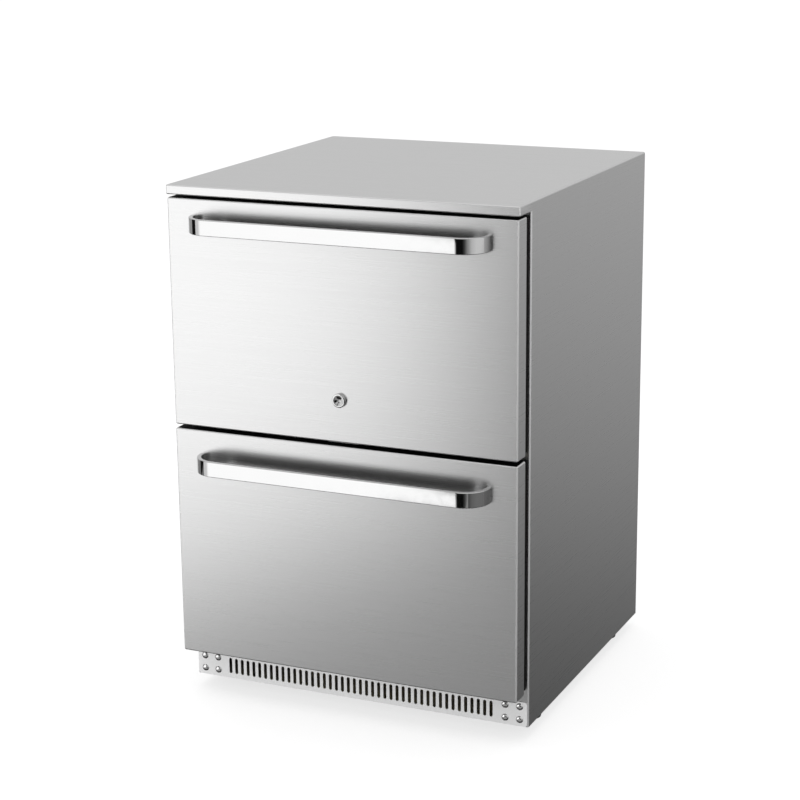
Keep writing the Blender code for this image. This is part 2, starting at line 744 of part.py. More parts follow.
def condenser_fan():
    """Shroud behind the condenser with a bridge for the motor, the motor and the rotor."""
    shroud_half = 0.100
    mouth = 0.078
    sheet = 0.0015
    front = 0.43375
    hole = arc((0.0, 0.0), mouth, 0, 345, 23)
    outline = rectangle(shroud_half, shroud_half)
    centre = (FAN_X, front + sheet / 2, FAN_Z)
    shroud = keep(extruded("condenser_fan_shroud", [outline, hole], sheet, "Y", centre), BLACK_PAINT)
    arm_x = 0.092
    arm = 0.004
    half_z = 0.008
    bridge = (0.488, 0.490)
    for side in (-1, 1):
        x = FAN_X + side * arm_x
        join_box(shroud, (x - arm, front + 0.001, FAN_Z - half_z), (x + arm, bridge[1], FAN_Z + half_z))
    low = (FAN_X - arm_x, bridge[0], FAN_Z - half_z)
    join_box(shroud, low, (FAN_X + arm_x, bridge[1], FAN_Z + half_z))
    rotor = fan("condenser_fan", 0.072, 0.020, (FAN_X, 0.4520, FAN_Z), BLACK_PLASTIC)
    profile = [(0.0, 0.012), (0.024, 0.012), (0.028, 0.008), (0.028, -0.012), (0.0, -0.012)]
    keep(turned("condenser_fan_motor", profile, (FAN_X, 0.4753, FAN_Z), "Y", 20), BLACK_PAINT)
    return rotor


def refrigerant_lines():
    """Filter drier, and the copper lines to the condenser and from the evaporator."""
    profile = [(0.0, 0.060), (0.0025, 0.060), (0.0035, 0.045), (0.0095, 0.036), (0.0095, -0.036)]
    profile += [(0.0035, -0.045), (0.0025, -0.060), (0.0, -0.060)]
    keep(turned("filter_drier", profile, (-0.030, 0.405, 0.120), "Z", 14), COPPER)
    line = [(0.105, 0.470, 0.2165), (0.100, 0.466, 0.230), (0.050, 0.440, 0.233), (-0.010, 0.415, 0.222)]
    line += [(-0.0580, 0.409, 0.212)]
    tube("discharge_line", line, 0.0030, COPPER)
    riser = 0.590
    line = [(0.152, 0.512, 0.2145), (0.156, 0.530, 0.230), (SUCTION_X, 0.575, 0.236)]
    line += [(SUCTION_X, riser, 0.258), (SUCTION_X, riser, SUCTION_Z - 0.018)]
    line += [(SUCTION_X, riser - 0.007, SUCTION_Z - 0.002), (SUCTION_X, 0.568, SUCTION_Z)]
    line += [(SUCTION_X, 0.5425, SUCTION_Z)]
    tube("suction_line", line, 0.0040, COPPER)


def drip_tray():
    """Shallow tray on the floor of the machine room that takes the melt water."""
    low = Vector((-0.240, 0.515, ROOM_FLOOR))
    high = Vector((-0.020, 0.595, ROOM_FLOOR + 0.022))
    wall = Vector((0.0015, 0.0015, 0.0015))
    tray = box("drip_tray", low, high, BLACK_PLASTIC)
    cut_box(tray, low + wall, high - wall + Vector((0.0, 0.0, 0.03)))


def machine_room():
    """Everything on the base tray. Returns the fan's rotor."""
    compressor()
    fin_block("condenser", CONDENSER_X, (0.385, 0.433), (ROOM_FLOOR + 0.002, 0.236), 20, ALUMINIUM)
    refrigerant_lines()
    drip_tray()
    return condenser_fan()


def cold_room():
    """Evaporator behind its slotted cover, with its fan, the lamp and the temperature sensor."""
    fin_block("evaporator", (-0.180, 0.180), (0.5100, 0.5415), (0.320, 0.520), 25, ALUMINIUM)
    low = STEP_TOP + THIN + GAP
    high = LINER_Z[1] - THIN - GAP
    middle = (low + high) / 2
    half_x = LINER_X - THIN - GAP
    wide = rectangle(0.055, 0.0025, 0.00249, 2)
    pitch = 0.012
    outlet_z = EVAPORATOR_FAN_Z - middle
    return_z = low - middle + 0.020
    outlets = [moved(wide, 0.0, outlet_z + row * pitch) for row in range(-4, 5)]
    returns = [moved(wide, x, return_z + row * pitch) for x in (-0.12, 0.12) for row in range(3)]
    outline = rectangle(half_x, (high - low) / 2)
    panel = extruded("evaporator_cover", [outline, *outlets, *returns], 0.0015, "Y", (0.0, 0.506, middle))
    keep(panel, LINER_STEEL)
    rotor = fan("evaporator_fan", 0.055, 0.012, (0.0, 0.5180, EVAPORATOR_FAN_Z), BLACK_PLASTIC)
    motor_profile = [(0.0, 0.010), (0.018, 0.010), (0.020, 0.007), (0.020, -0.010), (0.0, -0.010)]
    motor_at = (0.0, 0.5360, EVAPORATOR_FAN_Z)
    keep(turned("evaporator_fan_motor", motor_profile, motor_at, "Y", 20), BLACK_PLASTIC)

    ceiling = LINER_Z[1] - THIN - GAP
    lamp = box("led_lamp", (-0.110, 0.105, ceiling - 0.008), (0.110, 0.127, ceiling), LIGHT)
    bevel(lamp, 0.002)
    probe = [(0.0, 0.014), (0.0025, 0.013), (0.0035, 0.010), (0.0035, -0.014), (0.0, -0.014)]
    keep(turned("temperature_sensor", probe, (0.180, 0.5012, 0.780), "Z", 12), BLACK_PLASTIC)
    return rotor


def controls():
    """Control box under the ceiling, with three push buttons in wells, and the power inlet."""
    ceiling = LINER_Z[1] - THIN - GAP
    near, far = CONTROL_DEPTH
    box_low = (-CONTROL_HALF, near, ceiling - CONTROL_HEIGHT)
    panel = box("control_panel", box_low, (CONTROL_HALF, far, ceiling), BLACK_PLASTIC)
    bevel(panel, 0.002)
    edge = BUTTON_RADIUS - 0.001
    profile = [(0.0, 0.0042), (edge, 0.0042), (BUTTON_RADIUS, 0.0034), (BUTTON_RADIUS, -0.0040)]
    profile += [(0.0, -0.0040)]
    for name, x in zip(("power_button", "colder_button", "warmer_button"), BUTTON_XS):
        button = turned(name, profile, (x, near + 0.0015, BUTTON_Z), "Y", 16)
        keep(button, LIGHT)
        well_at = (x, near + 0.0005, BUTTON_Z)
        cut(panel, disc(name + "_well", BUTTON_RADIUS + GAP, 0.007, well_at, "Y", 16))


def power_inlet():
    """Socket for the mains lead in the rear cover, open to the back."""
    x, z = INLET_AT
    half_x, half_z = INLET_HALF
    rear = DEPTH - GAP
    near = rear - INLET_DEPTH
    inlet = box("power_inlet", (x - half_x, near, z - half_z), (x + half_x, rear, z + half_z), BLACK_PLASTIC)
    mouth_x = half_x - 0.009
    mouth_z = half_z - 0.005
    mouth_low = (x - mouth_x, near + 0.008, z - mouth_z)
    cut_box(inlet, mouth_low, (x + mouth_x, DEPTH + SHEET, z + mouth_z))


def levelling_foot(name, side, depth):
    """Foot pad, collar and stud. The collar meets the tray when the foot is screwed right in."""
    collar_top = TRAY[0] - GAP
    profile = [
        (0.0, STUD_TOP),
        (STUD - 0.001, STUD_TOP),
        (STUD, STUD_TOP - 0.002),
        (STUD, collar_top),
        (FOOT_COLLAR, collar_top),
        (FOOT_COLLAR, PAD_TOP),
        (FOOT_PAD - 0.0015, PAD_TOP - 0.001),
        (FOOT_PAD, PAD_TOP - 0.003),
        (FOOT_PAD, 0.001),
        (FOOT_PAD - 0.001, 0.0),
        (0.0, 0.0),
    ]
    return keep(turned(name, profile, (side * FOOT_X, depth, 0.0), "Z", 20), BLACK_PLASTIC)


# ---- assembly ----
outer_wrap()
inner_liner()
foam_insulation()
back_panels()
base_tray()
mullion()
front_grille()

upper = drawer_front("upper_drawer", UPPER_FRONT)
lower = drawer_front("lower_drawer", LOWER_FRONT)
cylinder, bolt = lock(upper[0], upper[1], lower[0], lower[1])

for name, front, front_span, drop, bin_span, rear, slide_z in (
    ("upper", upper, UPPER_FRONT, HANDLE_DROP, UPPER_BIN, UPPER_BIN_BACK, UPPER_SLIDE_Z),
    ("lower", lower, LOWER_FRONT, LOWER_HANDLE_DROP, LOWER_BIN, LOWER_BIN_BACK, LOWER_SLIDE_Z),
):
    grip = handle(name + "_handle", front_span[1] - drop)
    bin_part = bin_box(name + "_bin", bin_span, rear)
    middles, inners = slides(name, slide_z)
    drawer = group(name + "_drawer", (0.0, 0.0, front_span[0]))
    carry(drawer, *front, grip, bin_part, *inners)
    if name == "upper":
        carry(drawer, bolt, cylinder)
    carry(group(name + "_middles", (0.0, SLIDE_DEPTH[0], slide_z)), *middles)

machine_room()
cold_room()
controls()
power_inlet()
for side, hand in ((-1, "left"), (1, "right")):
    for depth, end in zip(FOOT_DEPTHS, ("front", "rear")):
        levelling_foot(f"{end}_{hand}_foot", side, depth)

for part in PARTS.objects:
    if part.type == "MESH":
        part.data.shade_smooth()
        part.data.set_sharp_from_angle(angle=math.radians(35))
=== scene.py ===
"""Looks for the two-drawer undercounter fridge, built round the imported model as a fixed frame."""
import json
import math

import bmesh
import bpy
from mathutils import Matrix, Vector


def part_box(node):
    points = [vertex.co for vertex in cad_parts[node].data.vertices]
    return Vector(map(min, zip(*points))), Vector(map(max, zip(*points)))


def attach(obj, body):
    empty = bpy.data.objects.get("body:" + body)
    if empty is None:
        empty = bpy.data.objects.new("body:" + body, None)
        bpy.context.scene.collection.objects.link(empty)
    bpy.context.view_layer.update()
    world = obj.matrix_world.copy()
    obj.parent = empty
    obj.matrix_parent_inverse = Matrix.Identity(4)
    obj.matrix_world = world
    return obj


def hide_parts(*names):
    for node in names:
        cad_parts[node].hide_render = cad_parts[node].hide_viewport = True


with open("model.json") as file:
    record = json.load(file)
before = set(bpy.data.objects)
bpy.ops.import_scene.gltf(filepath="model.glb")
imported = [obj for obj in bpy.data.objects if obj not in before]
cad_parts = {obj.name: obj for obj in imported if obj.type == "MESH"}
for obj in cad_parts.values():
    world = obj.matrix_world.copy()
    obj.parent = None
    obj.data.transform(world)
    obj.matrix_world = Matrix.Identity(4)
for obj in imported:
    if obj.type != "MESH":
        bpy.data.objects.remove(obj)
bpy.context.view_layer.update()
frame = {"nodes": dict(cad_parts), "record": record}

MM = 0.001
FAR = 1.0  # past every side of the fridge
GAP = 0.3 * MM
SHEET = 1.2 * MM
THIN = 1.0 * MM
BEND = 2.3 * MM  # size of the folded sheet's outer bends
COINED = 0.38  # their profile, between a flat chamfer at 0.25 and a round at 0.5
OVER = 10 * MM  # how far a cut, or a box that is cut back, passes the face it ends at
FLAT = 0.996  # part of a unit normal along one axis, within 5 degrees of it
UPRIGHT = 0.1  # rise of a unit normal that is level, within 6 degrees

# places taken from the frame
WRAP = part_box("outer_wrap")
FRONT = WRAP[0].y
REAR = WRAP[1].y
HALF = WRAP[1].x
TOP = WRAP[1].z
BASE = WRAP[0].z
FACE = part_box("inner_liner")[0].y  # plane of the cabinet's front frame
SIDES = ((-1, "left"), (1, "right"))
VISOR = 16 * MM
VISOR_ROOT = 200 * MM  # how far the visor's box runs into the cabinet's
FRAME_SIDE = 282 * MM
FRAME_TOP = TOP - 22 * MM
LAND = 250 * MM
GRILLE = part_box("front_grille")
CROSSBAR_LOW = GRILLE[1].z + 0.6 * MM
CROSSBAR_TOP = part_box("inner_liner")[0].z - GAP


# ---------------------------------------------------------------- mesh helpers
def link(name, mesh, surface, smooth_angle=35.0):
    """An object for a mesh, with its material, smooth shading and area-weighted normals."""
    obj = bpy.data.objects.new(name, mesh)
    bpy.context.scene.collection.objects.link(obj)
    if surface:
        mesh.materials.clear()
        mesh.materials.append(surface)
    mesh.shade_smooth()
    mesh.set_sharp_from_angle(angle=math.radians(smooth_angle))
    normals = obj.modifiers.new("normals", "WEIGHTED_NORMAL")
    normals.keep_sharp = True
    return obj


def from_bmesh(name, bm, surface, smooth_angle=35.0):
    """Finish a bmesh as an object."""
    bmesh.ops.recalc_face_normals(bm, faces=bm.faces)
    mesh = bpy.data.meshes.new(name)
    bm.to_mesh(mesh)
    bm.free()
    return link(name, mesh, surface, smooth_angle)


def rounded_box(name, low, high, radius, surface=None, segments=3, profile=0.5):
    """A box with every edge rounded, or with sharp edges where the radius is 0."""
    low = Vector(low)
    high = Vector(high)
    bm = bmesh.new()
    place = Matrix.Translation((low + high) / 2) @ Matrix.Diagonal((*(high - low), 1.0))
    bmesh.ops.create_cube(bm, size=1.0, matrix=place)
    if radius:
        edges = bm.edges[:]
        bmesh.ops.bevel(bm, geom=edges, offset=radius, segments=segments, profile=profile, affect="EDGES")
    return from_bmesh(name, bm, surface)


def solids(target, steps):
    """Cut or join shapes into the target, each step being (operation, other), and bake the result."""
    surface = target.data.materials[0]
    target.modifiers.clear()
    for operation, other in steps:
        other.modifiers.clear()
        step = target.modifiers.new(operation, "BOOLEAN")
        step.operation = operation
        step.solver = "EXACT"
        step.object = other
    graph = bpy.context.evaluated_depsgraph_get()
    mesh = bpy.data.meshes.new_from_object(target.evaluated_get(graph))
    name = target.name
    for obj in {target, *(other for _, other in steps)}:
        bpy.data.objects.remove(obj, do_unlink=True)
    mesh.name = name
    return link(name, mesh, surface)


def box_cut(low, high, radius=0.0):
    """A step that takes a box away."""
    return "DIFFERENCE", rounded_box("cutter", low, high, radius)


def arc(cx, cy, radius, start, end, steps):
    """Points on an arc, with its angles in degrees."""
    angles = [math.radians(start + (end - start) * i / steps) for i in range(steps + 1)]
    return [(cx + radius * math.cos(a), cy + radius * math.sin(a)) for a in angles]


def round_rect(half_u, half_v, radius, steps=4):
    """A rectangle with round corners."""
    u = half_u - radius
    v = half_v - radius
    corners = ((u, -v, -90), (u, v, 0), (-u, v, 90), (-u, -v, 180))
    return [p for cu, cv, start in corners for p in arc(cu, cv, radius, start, start + 90, steps)]


TURNS = {
    "Z": Matrix.Identity(4),
    "Y": Matrix.Rotation(math.pi / 2, 4, "X"),
    "X": Matrix.Rotation(math.pi / 2, 4, "Z") @ Matrix.Rotation(math.pi / 2, 4, "X"),
}


def prism(name, outlines, thickness, facing, centre, surface, edge=0.0):
    """A flat shape with holes, extruded along its facing axis, with its edges softened."""
    curve = bpy.data.curves.new(name, "CURVE")
    curve.dimensions = "2D"
    curve.fill_mode = "BOTH"
    curve.extrude = thickness / 2
    for outline in outlines:
        spline = curve.splines.new("POLY")
        spline.points.add(len(outline) - 1)
        for point, (u, v) in zip(spline.points, outline):
            point.co = (u, v, 0.0, 1.0)
        spline.use_cyclic_u = True
    holder = bpy.data.objects.new(name, curve)
    bpy.context.scene.collection.objects.link(holder)
    graph = bpy.context.evaluated_depsgraph_get()
    flat = bpy.data.meshes.new_from_object(holder.evaluated_get(graph))
    bpy.data.objects.remove(holder, do_unlink=True)
    bm = bmesh.new()
    bm.from_mesh(flat)
    bmesh.ops.remove_doubles(bm, verts=bm.verts, dist=0.00001)
    bmesh.ops.dissolve_limit(bm, angle_limit=0.01, verts=bm.verts, edges=bm.edges)
    if edge:
        rims = [e for e in bm.edges if len(e.link_faces) == 2 and e.calc_face_angle() > 1.2]
        bmesh.ops.bevel(bm, geom=rims, offset=edge, segments=2, profile=0.5, affect="EDGES")
    bmesh.ops.transform(bm, matrix=Matrix.Translation(Vector(centre)) @ TURNS[facing], verts=bm.verts)
    return from_bmesh(name, bm, surface)


def lathe(name, profile, centre, surface, facing="Z", steps=48, angle=35.0):
    """A turned piece from (radius, along) points, closed on its axis."""
    bm = bmesh.new()
    rings = []
    for radius, along in profile:
        if radius == 0.0:
            rings.append([bm.verts.new((0.0, 0.0, along))])
            continue
        circle = [2 * math.pi * i / steps for i in range(steps)]
        rings.append([bm.verts.new((radius * math.cos(t), radius * math.sin(t), along)) for t in circle])
    for lower, upper in zip(rings, rings[1:]):
        for i in range(steps):
            j = (i + 1) % steps
            turns = ((lower, i), (lower, j), (upper, j), (upper, i))
            unique = list(dict.fromkeys(ring[turn % len(ring)] for ring, turn in turns))
            if len(unique) > 2:
                bm.faces.new(unique)
    bmesh.ops.transform(bm, matrix=Matrix.Translation(Vector(centre)) @ TURNS[facing], verts=bm.verts)
    return from_bmesh(name, bm, surface, angle)


def loft(name, rings, surface, closed=False, angle=35.0):
    """Skin rings of points that all have the same count, capping the ends of an open run."""
    bm = bmesh.new()
    loops = [[bm.verts.new(p) for p in ring] for ring in rings]
    pairs = list(zip(loops, loops[1:]))
    if closed:
        pairs.append((loops[-1], loops[0]))
    for a, b in pairs:
        for i in range(len(a)):
            j = (i + 1) % len(a)
            bm.faces.new((a[i], a[j], b[j], b[i]))
    if not closed:
        bm.faces.new(loops[0])
        bm.faces.new(loops[-1])
    return from_bmesh(name, bm, surface, angle)


def in_mm(profile):
    """A profile given in millimetres, in metres."""
    return [(u * MM, v * MM) for u, v in profile]


def seat(piece, body, slot, *nodes):
    """Put a piece on its body and hide the CAD nodes that it stands for. The slot is not used."""
    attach(piece, body)
    if nodes:
        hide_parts(*nodes)


# ---------------------------------------------------------------- materials
class Surface:
    """A Principled material with helpers for the textures that shape it."""

    def __init__(self, name, colour, roughness, metallic=0.0):
        self.material = bpy.data.materials.new(name)
        self.material.use_nodes = True
        self.nodes = self.material.node_tree.nodes
        self.links = self.material.node_tree.links
        self.shader = self.nodes["Principled BSDF"]
        self.shader.inputs["Base Color"].default_value = (*colour, 1.0)
        self.shader.inputs["Roughness"].default_value = roughness
        self.shader.inputs["Metallic"].default_value = metallic
        self.colour = colour
        self.roughness = roughness
        self.material.diffuse_color = (*colour, 1.0)
        self.place = self.nodes.new("ShaderNodeTexCoord").outputs["Object"]

    def noise(self, scale, detail, stretch=(1.0, 1.0, 1.0)):
        """Noise in object space, longer along the axes whose stretch is small."""
        mapping = self.nodes.new("ShaderNodeMapping")
        mapping.inputs["Scale"].default_value = stretch
        self.links.new(self.place, mapping.inputs["Vector"])
        texture = self.nodes.new("ShaderNodeTexNoise")
        texture.inputs["Scale"].default_value = scale
        texture.inputs["Detail"].default_value = detail
        texture.inputs["Roughness"].default_value = 0.55
        self.links.new(mapping.outputs["Vector"], texture.inputs["Vector"])
        return texture.outputs["Fac"]

    def cells(self, scale):
        """Voronoi cells in object space."""
        texture = self.nodes.new("ShaderNodeTexVoronoi")
        texture.inputs["Scale"].default_value = scale
        self.links.new(self.place, texture.inputs["Vector"])
        return texture

    def spread(self, value, low, high):
        """Map a texture from its middle range to low and high."""
        node = self.nodes.new("ShaderNodeMapRange")
        node.inputs["From Min"].default_value = 0.3
        node.inputs["From Max"].default_value = 0.7
        node.inputs["To Min"].default_value = low
        node.inputs["To Max"].default_value = high
        self.links.new(value, node.inputs["Value"])
        return node.outputs["Result"]

    def vary_roughness(self, value, amount):
        """Let a texture move the roughness up and down."""
        low = max(self.roughness - amount, 0.0)
        result = self.spread(value, low, self.roughness + amount)
        self.links.new(result, self.shader.inputs["Roughness"])

    def vary_colour(self, value, low, high):
        """Let a texture scale the base colour between two shares of it."""
        mix = self.nodes.new("ShaderNodeMix")
        mix.data_type = "RGBA"
        mix.inputs["A"].default_value = (*(c * low for c in self.colour), 1.0)
        mix.inputs["B"].default_value = (*(min(c * high, 1.0) for c in self.colour), 1.0)
        self.links.new(self.spread(value, 0.0, 1.0), mix.inputs["Factor"])
        self.links.new(mix.outputs["Result"], self.shader.inputs["Base Color"])

    def bump(self, value, strength, distance):
        """Let a texture raise the surface by up to a distance in metres."""
        node = self.nodes.new("ShaderNodeBump")
        node.inputs["Strength"].default_value = strength
        node.inputs["Distance"].default_value = distance
        self.links.new(value, node.inputs["Height"])
        self.links.new(node.outputs["Normal"], self.shader.inputs["Normal"])


def brushed(name, colour, roughness, along, grain=2600.0):
    """Brushed sheet with its grain along the named axes."""
    surface = Surface(name, colour, roughness, 1.0)
    stretch = tuple(0.002 if axis in along else 1.0 for axis in "XYZ")
    fine = surface.noise(grain, 3.0, stretch)
    surface.vary_roughness(fine, 0.02)
    surface.vary_colour(surface.noise(grain * 0.5, 2.0, stretch), 0.988, 1.012)
    surface.bump(fine, 0.2, 0.0003 * MM)
    return surface.material


def polished(name, colour, roughness):
    """Polished metal with the faintest buffing haze."""
    surface = Surface(name, colour, roughness, 1.0)
    surface.vary_roughness(surface.noise(60.0, 4.0), 0.02)
    surface.vary_colour(surface.noise(8.0, 2.0), 0.98, 1.0)
    return surface.material


def galvanised(name, colour, roughness):
    """Hot-dip zinc, whose spangles each have their own tone and gloss."""
    surface = Surface(name, colour, roughness, 1.0)
    spangles = surface.cells(150.0).outputs["Color"]
    surface.vary_colour(spangles, 0.965, 1.03)
    surface.vary_roughness(spangles, 0.02)
    surface.bump(surface.noise(220.0, 2.0), 0.15, 0.05 * MM)
    return surface.material


def painted(name, colour, roughness):
    """Enamel with orange peel."""
    surface = Surface(name, colour, roughness)
    surface.vary_colour(surface.noise(30.0, 3.0), 0.85, 1.15)
    surface.vary_roughness(surface.noise(90.0, 2.0), 0.06)
    surface.bump(surface.noise(420.0, 1.0), 0.2, 0.08 * MM)
    return surface.material


def moulded(name, colour, roughness, grain=1400.0, gloss=0.5):
    """Moulded plastic with a fine spark-eroded grain."""
    surface = Surface(name, colour, roughness)
    surface.shader.inputs["Specular IOR Level"].default_value = gloss
    surface.vary_colour(surface.noise(25.0, 3.0), 0.93, 1.06)
    surface.vary_roughness(surface.noise(grain * 0.3, 2.0), 0.07)
    surface.bump(surface.cells(grain).outputs["Distance"], 0.25, 0.06 * MM)
    return surface.material


def foamed(name, colour, roughness):
    """Cut polyurethane foam with open cells."""
    surface = Surface(name, colour, roughness)
    cells = surface.cells(600.0)
    surface.vary_colour(cells.outputs["Distance"], 0.8, 1.1)
    surface.vary_roughness(surface.noise(200.0, 2.0), 0.05)
    surface.bump(cells.outputs["Distance"], 0.6, 0.5 * MM)
    return surface.material


def finned(name, colour, roughness):
    """Aluminium fin stock with a fine ripple."""
    surface = Surface(name, colour, roughness, 1.0)
    ripple = surface.noise(500.0, 2.0, (1.0, 1.0, 0.05))
    surface.vary_colour(surface.noise(40.0, 3.0), 0.85, 1.08)
    surface.vary_roughness(ripple, 0.08)
    surface.bump(ripple, 0.3, 0.1 * MM)
    return surface.material


def tubed(name, colour, roughness):
    """Drawn copper with patches of tarnish."""
    surface = Surface(name, colour, roughness, 1.0)
    surface.vary_colour(surface.noise(45.0, 5.0), 0.55, 1.1)
    surface.vary_roughness(surface.noise(45.0, 5.0), 0.12)
    surface.bump(surface.noise(300.0, 2.0), 0.1, 0.05 * MM)
    return surface.material


def silvered(name, colour, roughness):
    """Silver paint: metal flake under a satin coat."""
    surface = Surface(name, colour, roughness, 0.35)
    surface.vary_colour(surface.cells(1800.0).outputs["Distance"], 0.94, 1.04)
    surface.vary_roughness(surface.noise(300.0, 2.0), 0.04)
    surface.bump(surface.noise(900.0, 2.0), 0.12, 0.03 * MM)
    return surface.material


FINISHES = {
    "silver_paint": silvered("silver_paint", (0.86, 0.86, 0.86), 0.38),
    "brushed_steel": brushed("brushed_front", (0.66, 0.66, 0.66), 0.29, "XY"),
    "polished_steel": polished("polished_chrome", (0.6, 0.6, 0.6), 0.05),
    "galvanised_steel": galvanised("galvanised", (0.55, 0.56, 0.57), 0.42),
    "liner_steel": brushed("liner_satin", (0.62, 0.63, 0.63), 0.36, "XY", 2000.0),
    "inner_plastic": moulded("inner_plastic", (0.62, 0.63, 0.64), 0.42),
    "foam": foamed("foam_cut", (0.80, 0.70, 0.44), 0.9),
    "gasket_rubber": moulded("gasket_black", (0.004, 0.004, 0.004), 0.6, 900.0, 0.08),
    "black_paint": painted("enamel_black", (0.018, 0.018, 0.018), 0.32),
    "black_plastic": moulded("moulded_black", (0.022, 0.022, 0.022), 0.45),
    "copper": tubed("copper_drawn", (0.72, 0.38, 0.24), 0.28),
    "aluminium": finned("fin_stock", (0.74, 0.75, 0.76), 0.34),
    "lamp_lens": moulded("frosted_lens", (0.86, 0.86, 0.84), 0.35, 2200.0),
    "zinc_steel": brushed("zinc_plate", (0.58, 0.58, 0.57), 0.3, "Y", 2000.0),
}
STEEL = FINISHES["brushed_steel"]
TOP_STEEL = brushed("brushed_top", (0.66, 0.66, 0.66), 0.29, "X")
CHROME = FINISHES["polished_steel"]
SCREW_STEEL = polished("screw_heads", (0.8, 0.8, 0.8), 0.2)
DARK = painted("keyway_dark", (0.006, 0.006, 0.006), 0.5)
# black rubber for the drawers' edge seals, and for the strips that paint shade: behind the handles' bars, in
# the visor's hollow and on the drawer fronts' top and bottom
BLACK_SEAL_AND_SHADE = moulded("black_seal_and_shade", (0.004, 0.004, 0.004), 0.6, 1400.0, 0.05)
# painted highlight: a near-white, rough copy of the brushed steel for the upright bends, so they read as
# bright lines whatever they face
BEND_HIGHLIGHT_STEEL = brushed("painted_bend_highlight", (0.97, 0.97, 0.97), 0.6, "Z")

for entry in frame["record"]["subparts"]:
    mesh = frame["nodes"][entry["node"]].data
    mesh.materials.clear()
    mesh.materials.append(FINISHES[entry["material_slot"]])


# ---------------------------------------------------------------- cabinet
def paint_bend_highlights(obj):
    """Paint highlights on the upright bends of a folded sheet: a brighter, rougher copy of its steel than on
    its flats.
    """
    obj.data.materials.append(BEND_HIGHLIGHT_STEEL)
    index = len(obj.data.materials) - 1
    for face in obj.data.polygons:
        x, y, z = (abs(c) for c in face.normal)
        if z < UPRIGHT and max(x, y) < FLAT:
            face.material_index = index


def paint_edge_shade(obj, depth):
    """Paint shade on the top and bottom of a drawer front: its flat faces behind the bends turn black, so the
    gaps above and below it read dark.
    """
    obj.data.materials.append(BLACK_SEAL_AND_SHADE)
    index = len(obj.data.materials) - 1
    for face in obj.data.polygons:
        if abs(face.normal.z) > FLAT and face.center.y > depth:
            face.material_index = index


def cabinet_wrap():
    """Folded top and sides with rounded bends, the visor, the front frame and the grille's lands."""
    inside = HALF - SHEET
    body_low = (-HALF, FACE, BASE - OVER)
    wrap = rounded_box("cabinet_wrap", body_low, (HALF, REAR + OVER, TOP), BEND, STEEL, 4, COINED)
    visor_low = (-HALF, FRONT, TOP - VISOR)
    visor = rounded_box("visor", visor_low, (HALF, FACE + VISOR_ROOT, TOP), BEND, None, 4, COINED)
    steps = [
        ("UNION", visor),
        box_cut((-FAR, -FAR, -OVER), (FAR, FAR, BASE)),
        box_cut((-FAR, REAR, -OVER), (FAR, FAR, FAR)),
        box_cut((-inside, FACE + SHEET, 0.0), (inside, FAR, TOP - SHEET), 0.8 * MM),
        box_cut((-inside, FRONT + SHEET, TOP - VISOR - OVER), (inside, FACE, TOP - SHEET)),
        box_cut((-FRAME_SIDE, FACE - OVER, CROSSBAR_TOP), (FRAME_SIDE, FACE + OVER, FRAME_TOP)),
        box_cut((-LAND, FACE - OVER, 0.0), (LAND, FACE + OVER, CROSSBAR_LOW)),
    ]
    wrap = solids(wrap, steps)
    wrap.data.materials.append(TOP_STEEL)
    for face in wrap.data.polygons:
        face.material_index = 1 if face.normal.z > FLAT else 0
    # painted highlight on the wrap's upright bends
    paint_bend_highlights(wrap)
    seat(wrap, "cabinet", "brushed_steel", "outer_wrap")


VISOR_STRIP = (0.4 * MM, 2.4 * MM)  # the strip's faces, above the visor's lower edge


def visor_shade_strip():
    """Painted shade: a black strip that closes the visor's hollow over the upper drawer front, so the gap
    there reads dark.
    """
    side = HALF - SHEET - GAP
    low = (-side, FRONT + SHEET + GAP, TOP - VISOR + VISOR_STRIP[0])
    high = (side, FACE - GAP, TOP - VISOR + VISOR_STRIP[1])
    seat(rounded_box("visor_shade_strip", low, high, 0.4 * MM, BLACK_SEAL_AND_SHADE, 2), "cabinet", "gasket_rubber")


SLOT_COUNT = 44
SLOT_PITCH = 11 * MM
SLOT_HALF = (2.75 * MM, 13.65 * MM)
SLOT_HEIGHT = BASE + 22.35 * MM  # middle of the slots
SCREW_COLUMNS = (260.5 * MM, 285.3 * MM)
SCREW_ROWS = (BASE + 11.7 * MM, BASE + 33.7 * MM)
DOME = ((0.0, 2.2), (2.2, 2.12), (3.6, 1.85), (4.6, 1.4), (5.3, 0.8))
DOME_RIM = ((5.6, 0.25), (6.0, 0.2), (6.1, 0.0), (0.0, 0.0))


def grille():
    """Slotted grille with softened slots, and the dome screws that hold its ends."""
    low, high = GRILLE
    middle = (low + high) / 2
    paint = FINISHES["silver_paint"]
    slot = round_rect(*SLOT_HALF, SLOT_HALF[0] - 0.01 * MM, 6)
    lift = SLOT_HEIGHT - middle.z
    places = [(i - (SLOT_COUNT - 1) / 2) * SLOT_PITCH for i in range(SLOT_COUNT)]
    slots = [[(u + place, v + lift) for u, v in slot] for place in places]
    outline = round_rect(high.x, (high.z - low.z) / 2, 5 * MM, 6)
    centre = (0.0, middle.y, middle.z)
    plate = prism("grille_plate", [outline, *slots], high.y - low.y, "Y", centre, paint, 0.3 * MM)
    seat(plate, "cabinet", "silver_paint", "front_grille")
    for side, word in SIDES:
        for column, x in enumerate(SCREW_COLUMNS):
            for row, z in enumerate(SCREW_ROWS):
                place = (side * x, low.y - 0.02 * MM, z)
                name = f"grille_screw_{word}_{column}{row}"
                screw = lathe(name, in_mm(DOME + DOME_RIM), place, SCREW_STEEL, "Y", 32, 60)
                seat(screw, "cabinet", "zinc_steel")


